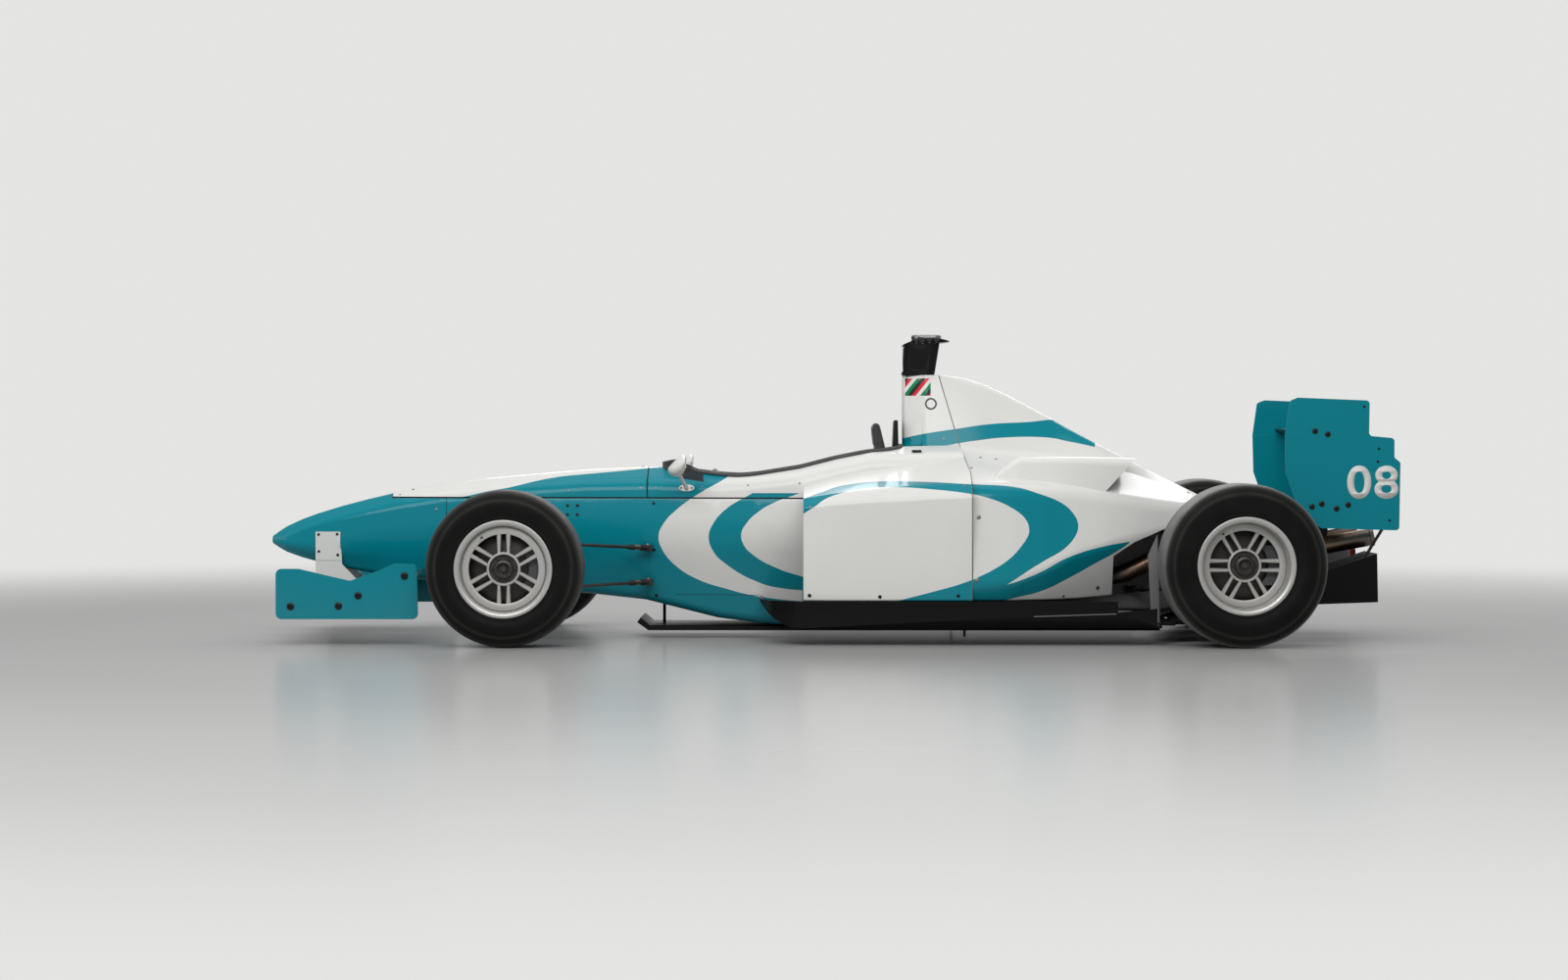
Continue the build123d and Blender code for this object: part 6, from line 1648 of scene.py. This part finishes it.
tone_faces(bpy.data.objects["air_intake_skin"], grey_metal, lambda c, n: c.z > CAP_Z)
latch_y = beside("cockpit_surround", LATCH_X, 0.722, 1)[0].y
latch = plate_y(rounded_outline(0.019, 0.0045, 0.003, (LATCH_X, LATCH_Z)), latch_y - 0.006, latch_y + 0.004)
made("surround_latches", mirrored(latch), steel, "chassis", bevel=0.001)
clamps = [turned(CLAMP, PIPE_EARLIER.lerp(PIPE_BEFORE, share), PIPE_BEFORE - PIPE_EARLIER, 48, closed=True)
          for share in (0.12, 0.45)]
made("pipe_clamps", mirrored(joined(*clamps)), machined, "chassis")
tip = turned(TAIL_RING, PIPE_END, PIPE_END - PIPE_BEFORE, 48, closed=True)
made("tail_pipe_rings", mirrored(tip), heat, "chassis")
print("small trim made, latch at y", round(latch_y, 3))

# %% [markdown]
# The nose bulges beyond the pylon plates, which on the real car lie on it. A thin face plate, a grid
# that follows whichever is further out, gives each pylon its clean rectangle.

# %% Pylon face plates
FACE_LOW, FACE_HIGH = (1.8990, 0.3000), (1.9960, 0.4120)
FACE_STEPS = 14
FACE_LIFT, FACE_SINK = 0.0018, -0.004
PYLON_Y = 0.122
PYLON_SCREWS = ((1.984, 0.401), (1.911, 0.402), (1.983, 0.335), (1.909, 0.321))


def face_y(x, z):
    """How far out the pylon or the nose stands, whichever is further."""
    spot = beside("nose_cone", x, z, 1)[0]
    return max(PYLON_Y, spot.y if spot else 0.0)


columns, rows = [
    [low + (high - low) * k / FACE_STEPS for k in range(FACE_STEPS + 1)]
    for low, high in zip(FACE_LOW, FACE_HIGH)]
side_n = FACE_STEPS + 1
layer_n = side_n * side_n
grid_points = [(x, face_y(x, z) + lift, z) for lift in (FACE_LIFT, FACE_SINK) for z in rows for x in columns]
cells_along = range(FACE_STEPS)
corners = [layer + j * side_n + i for layer in (0, layer_n) for j in cells_along for i in cells_along]
grid_faces = [(a, a + 1, a + side_n + 1, a + side_n) for a in corners]
border = [*range(side_n), *[j * side_n + FACE_STEPS for j in range(1, side_n)]]
border += [layer_n - 1 - i for i in border[1:-1]]
for a, b in zip(border, border[1:] + border[:1]):
    grid_faces.append((a, b, b + layer_n, a + layer_n))
made("pylon_faces", mirrored((grid_points, grid_faces)), white_paint, "chassis", angle=50)
pylon_screws = [((x, side * (face_y(x, z) + FACE_LIFT), z), (0, side, 0))
                for x, z in PYLON_SCREWS for side in LEFT_AND_RIGHT]
bolt_set("pylon_screws", pylon_screws, 0.0055, 0.003, bolt_black)
print("pylon faces made, border points:", len(border))

# %% [markdown]
# The driveshafts bend in rubber boots at both ends. A boot is a turned profile of narrowing folds. It
# rides with the wheel, as the shaft does.

# %% Driveshaft boots
BOOT = [
    (0.000, 0.014), (0.000, 0.034), (0.008, 0.036), (0.013, 0.027), (0.019, 0.031), (0.024, 0.022),
    (0.030, 0.026), (0.035, 0.018), (0.042, 0.017), (0.042, 0.013)]
# how far out a boot starts, and which way it narrows
BOOT_ENDS = ((0.134, 1), (0.592, -1))
boots = joined(*[
    turned(curved(BOOT, 3), (REAR_AXLE[0], y, REAR_AXLE[1]), (0, way, 0), 48) for y, way in BOOT_ENDS])
for side in ("left", "right"):
    made(f"shaft_boots_{side}", on_side(boots, side), edge_trim, f"wheel_rear_{side}", angle=70)
print("boots made:", 2 * len(BOOT_ENDS))

# %% [markdown]
# On the dash bulkhead sit a small screen and a row of switches. The wings' trailing edges carry a thin
# upright strip, and so does the floor's edge behind the sidepod.

# %% Dash and wing strips
SWITCH_Y = (-0.105, -0.085, 0.085, 0.105)
STRIP_THICK = 0.0016
FLOOR_EDGE = [(-0.779, 0.1080), (-1.088, 0.1180), (-1.088, 0.1215), (-0.779, 0.1115)]


def strip(x, z_low, z_high, half_y):
    """A thin upright strip across the car."""
    behind = x - STRIP_THICK
    return plate_y([(x, z_low), (behind, z_low), (behind, z_high), (x, z_high)], -half_y, half_y)


screen_outline = rounded_outline(0.048, 0.020, 0.004, (0.0, 0.600))
display = lofted([[(x, y, z) for y, z in screen_outline] for x in (0.5955, 0.590)])
made("dash_display", display, gloss_carbon, "chassis", bevel=0.001)
bolt_set("dash_switches", [((0.5945, y, 0.560), (-1, 0, 0)) for y in SWITCH_Y], 0.0055, 0.012, machined)
wing_strips = joined(strip(-2.0550, 0.908, 0.921, 0.496), strip(-2.0225, 0.540, 0.552, 0.496))
made("wing_edge_strips", wing_strips, carbon, "chassis")
floor_strips = mirrored(plate_y(FLOOR_EDGE, 0.6890, 0.6912))
made("floor_edge_strips", floor_strips, grey_metal, "chassis")
print("dash and strips made, switches:", len(SWITCH_Y))
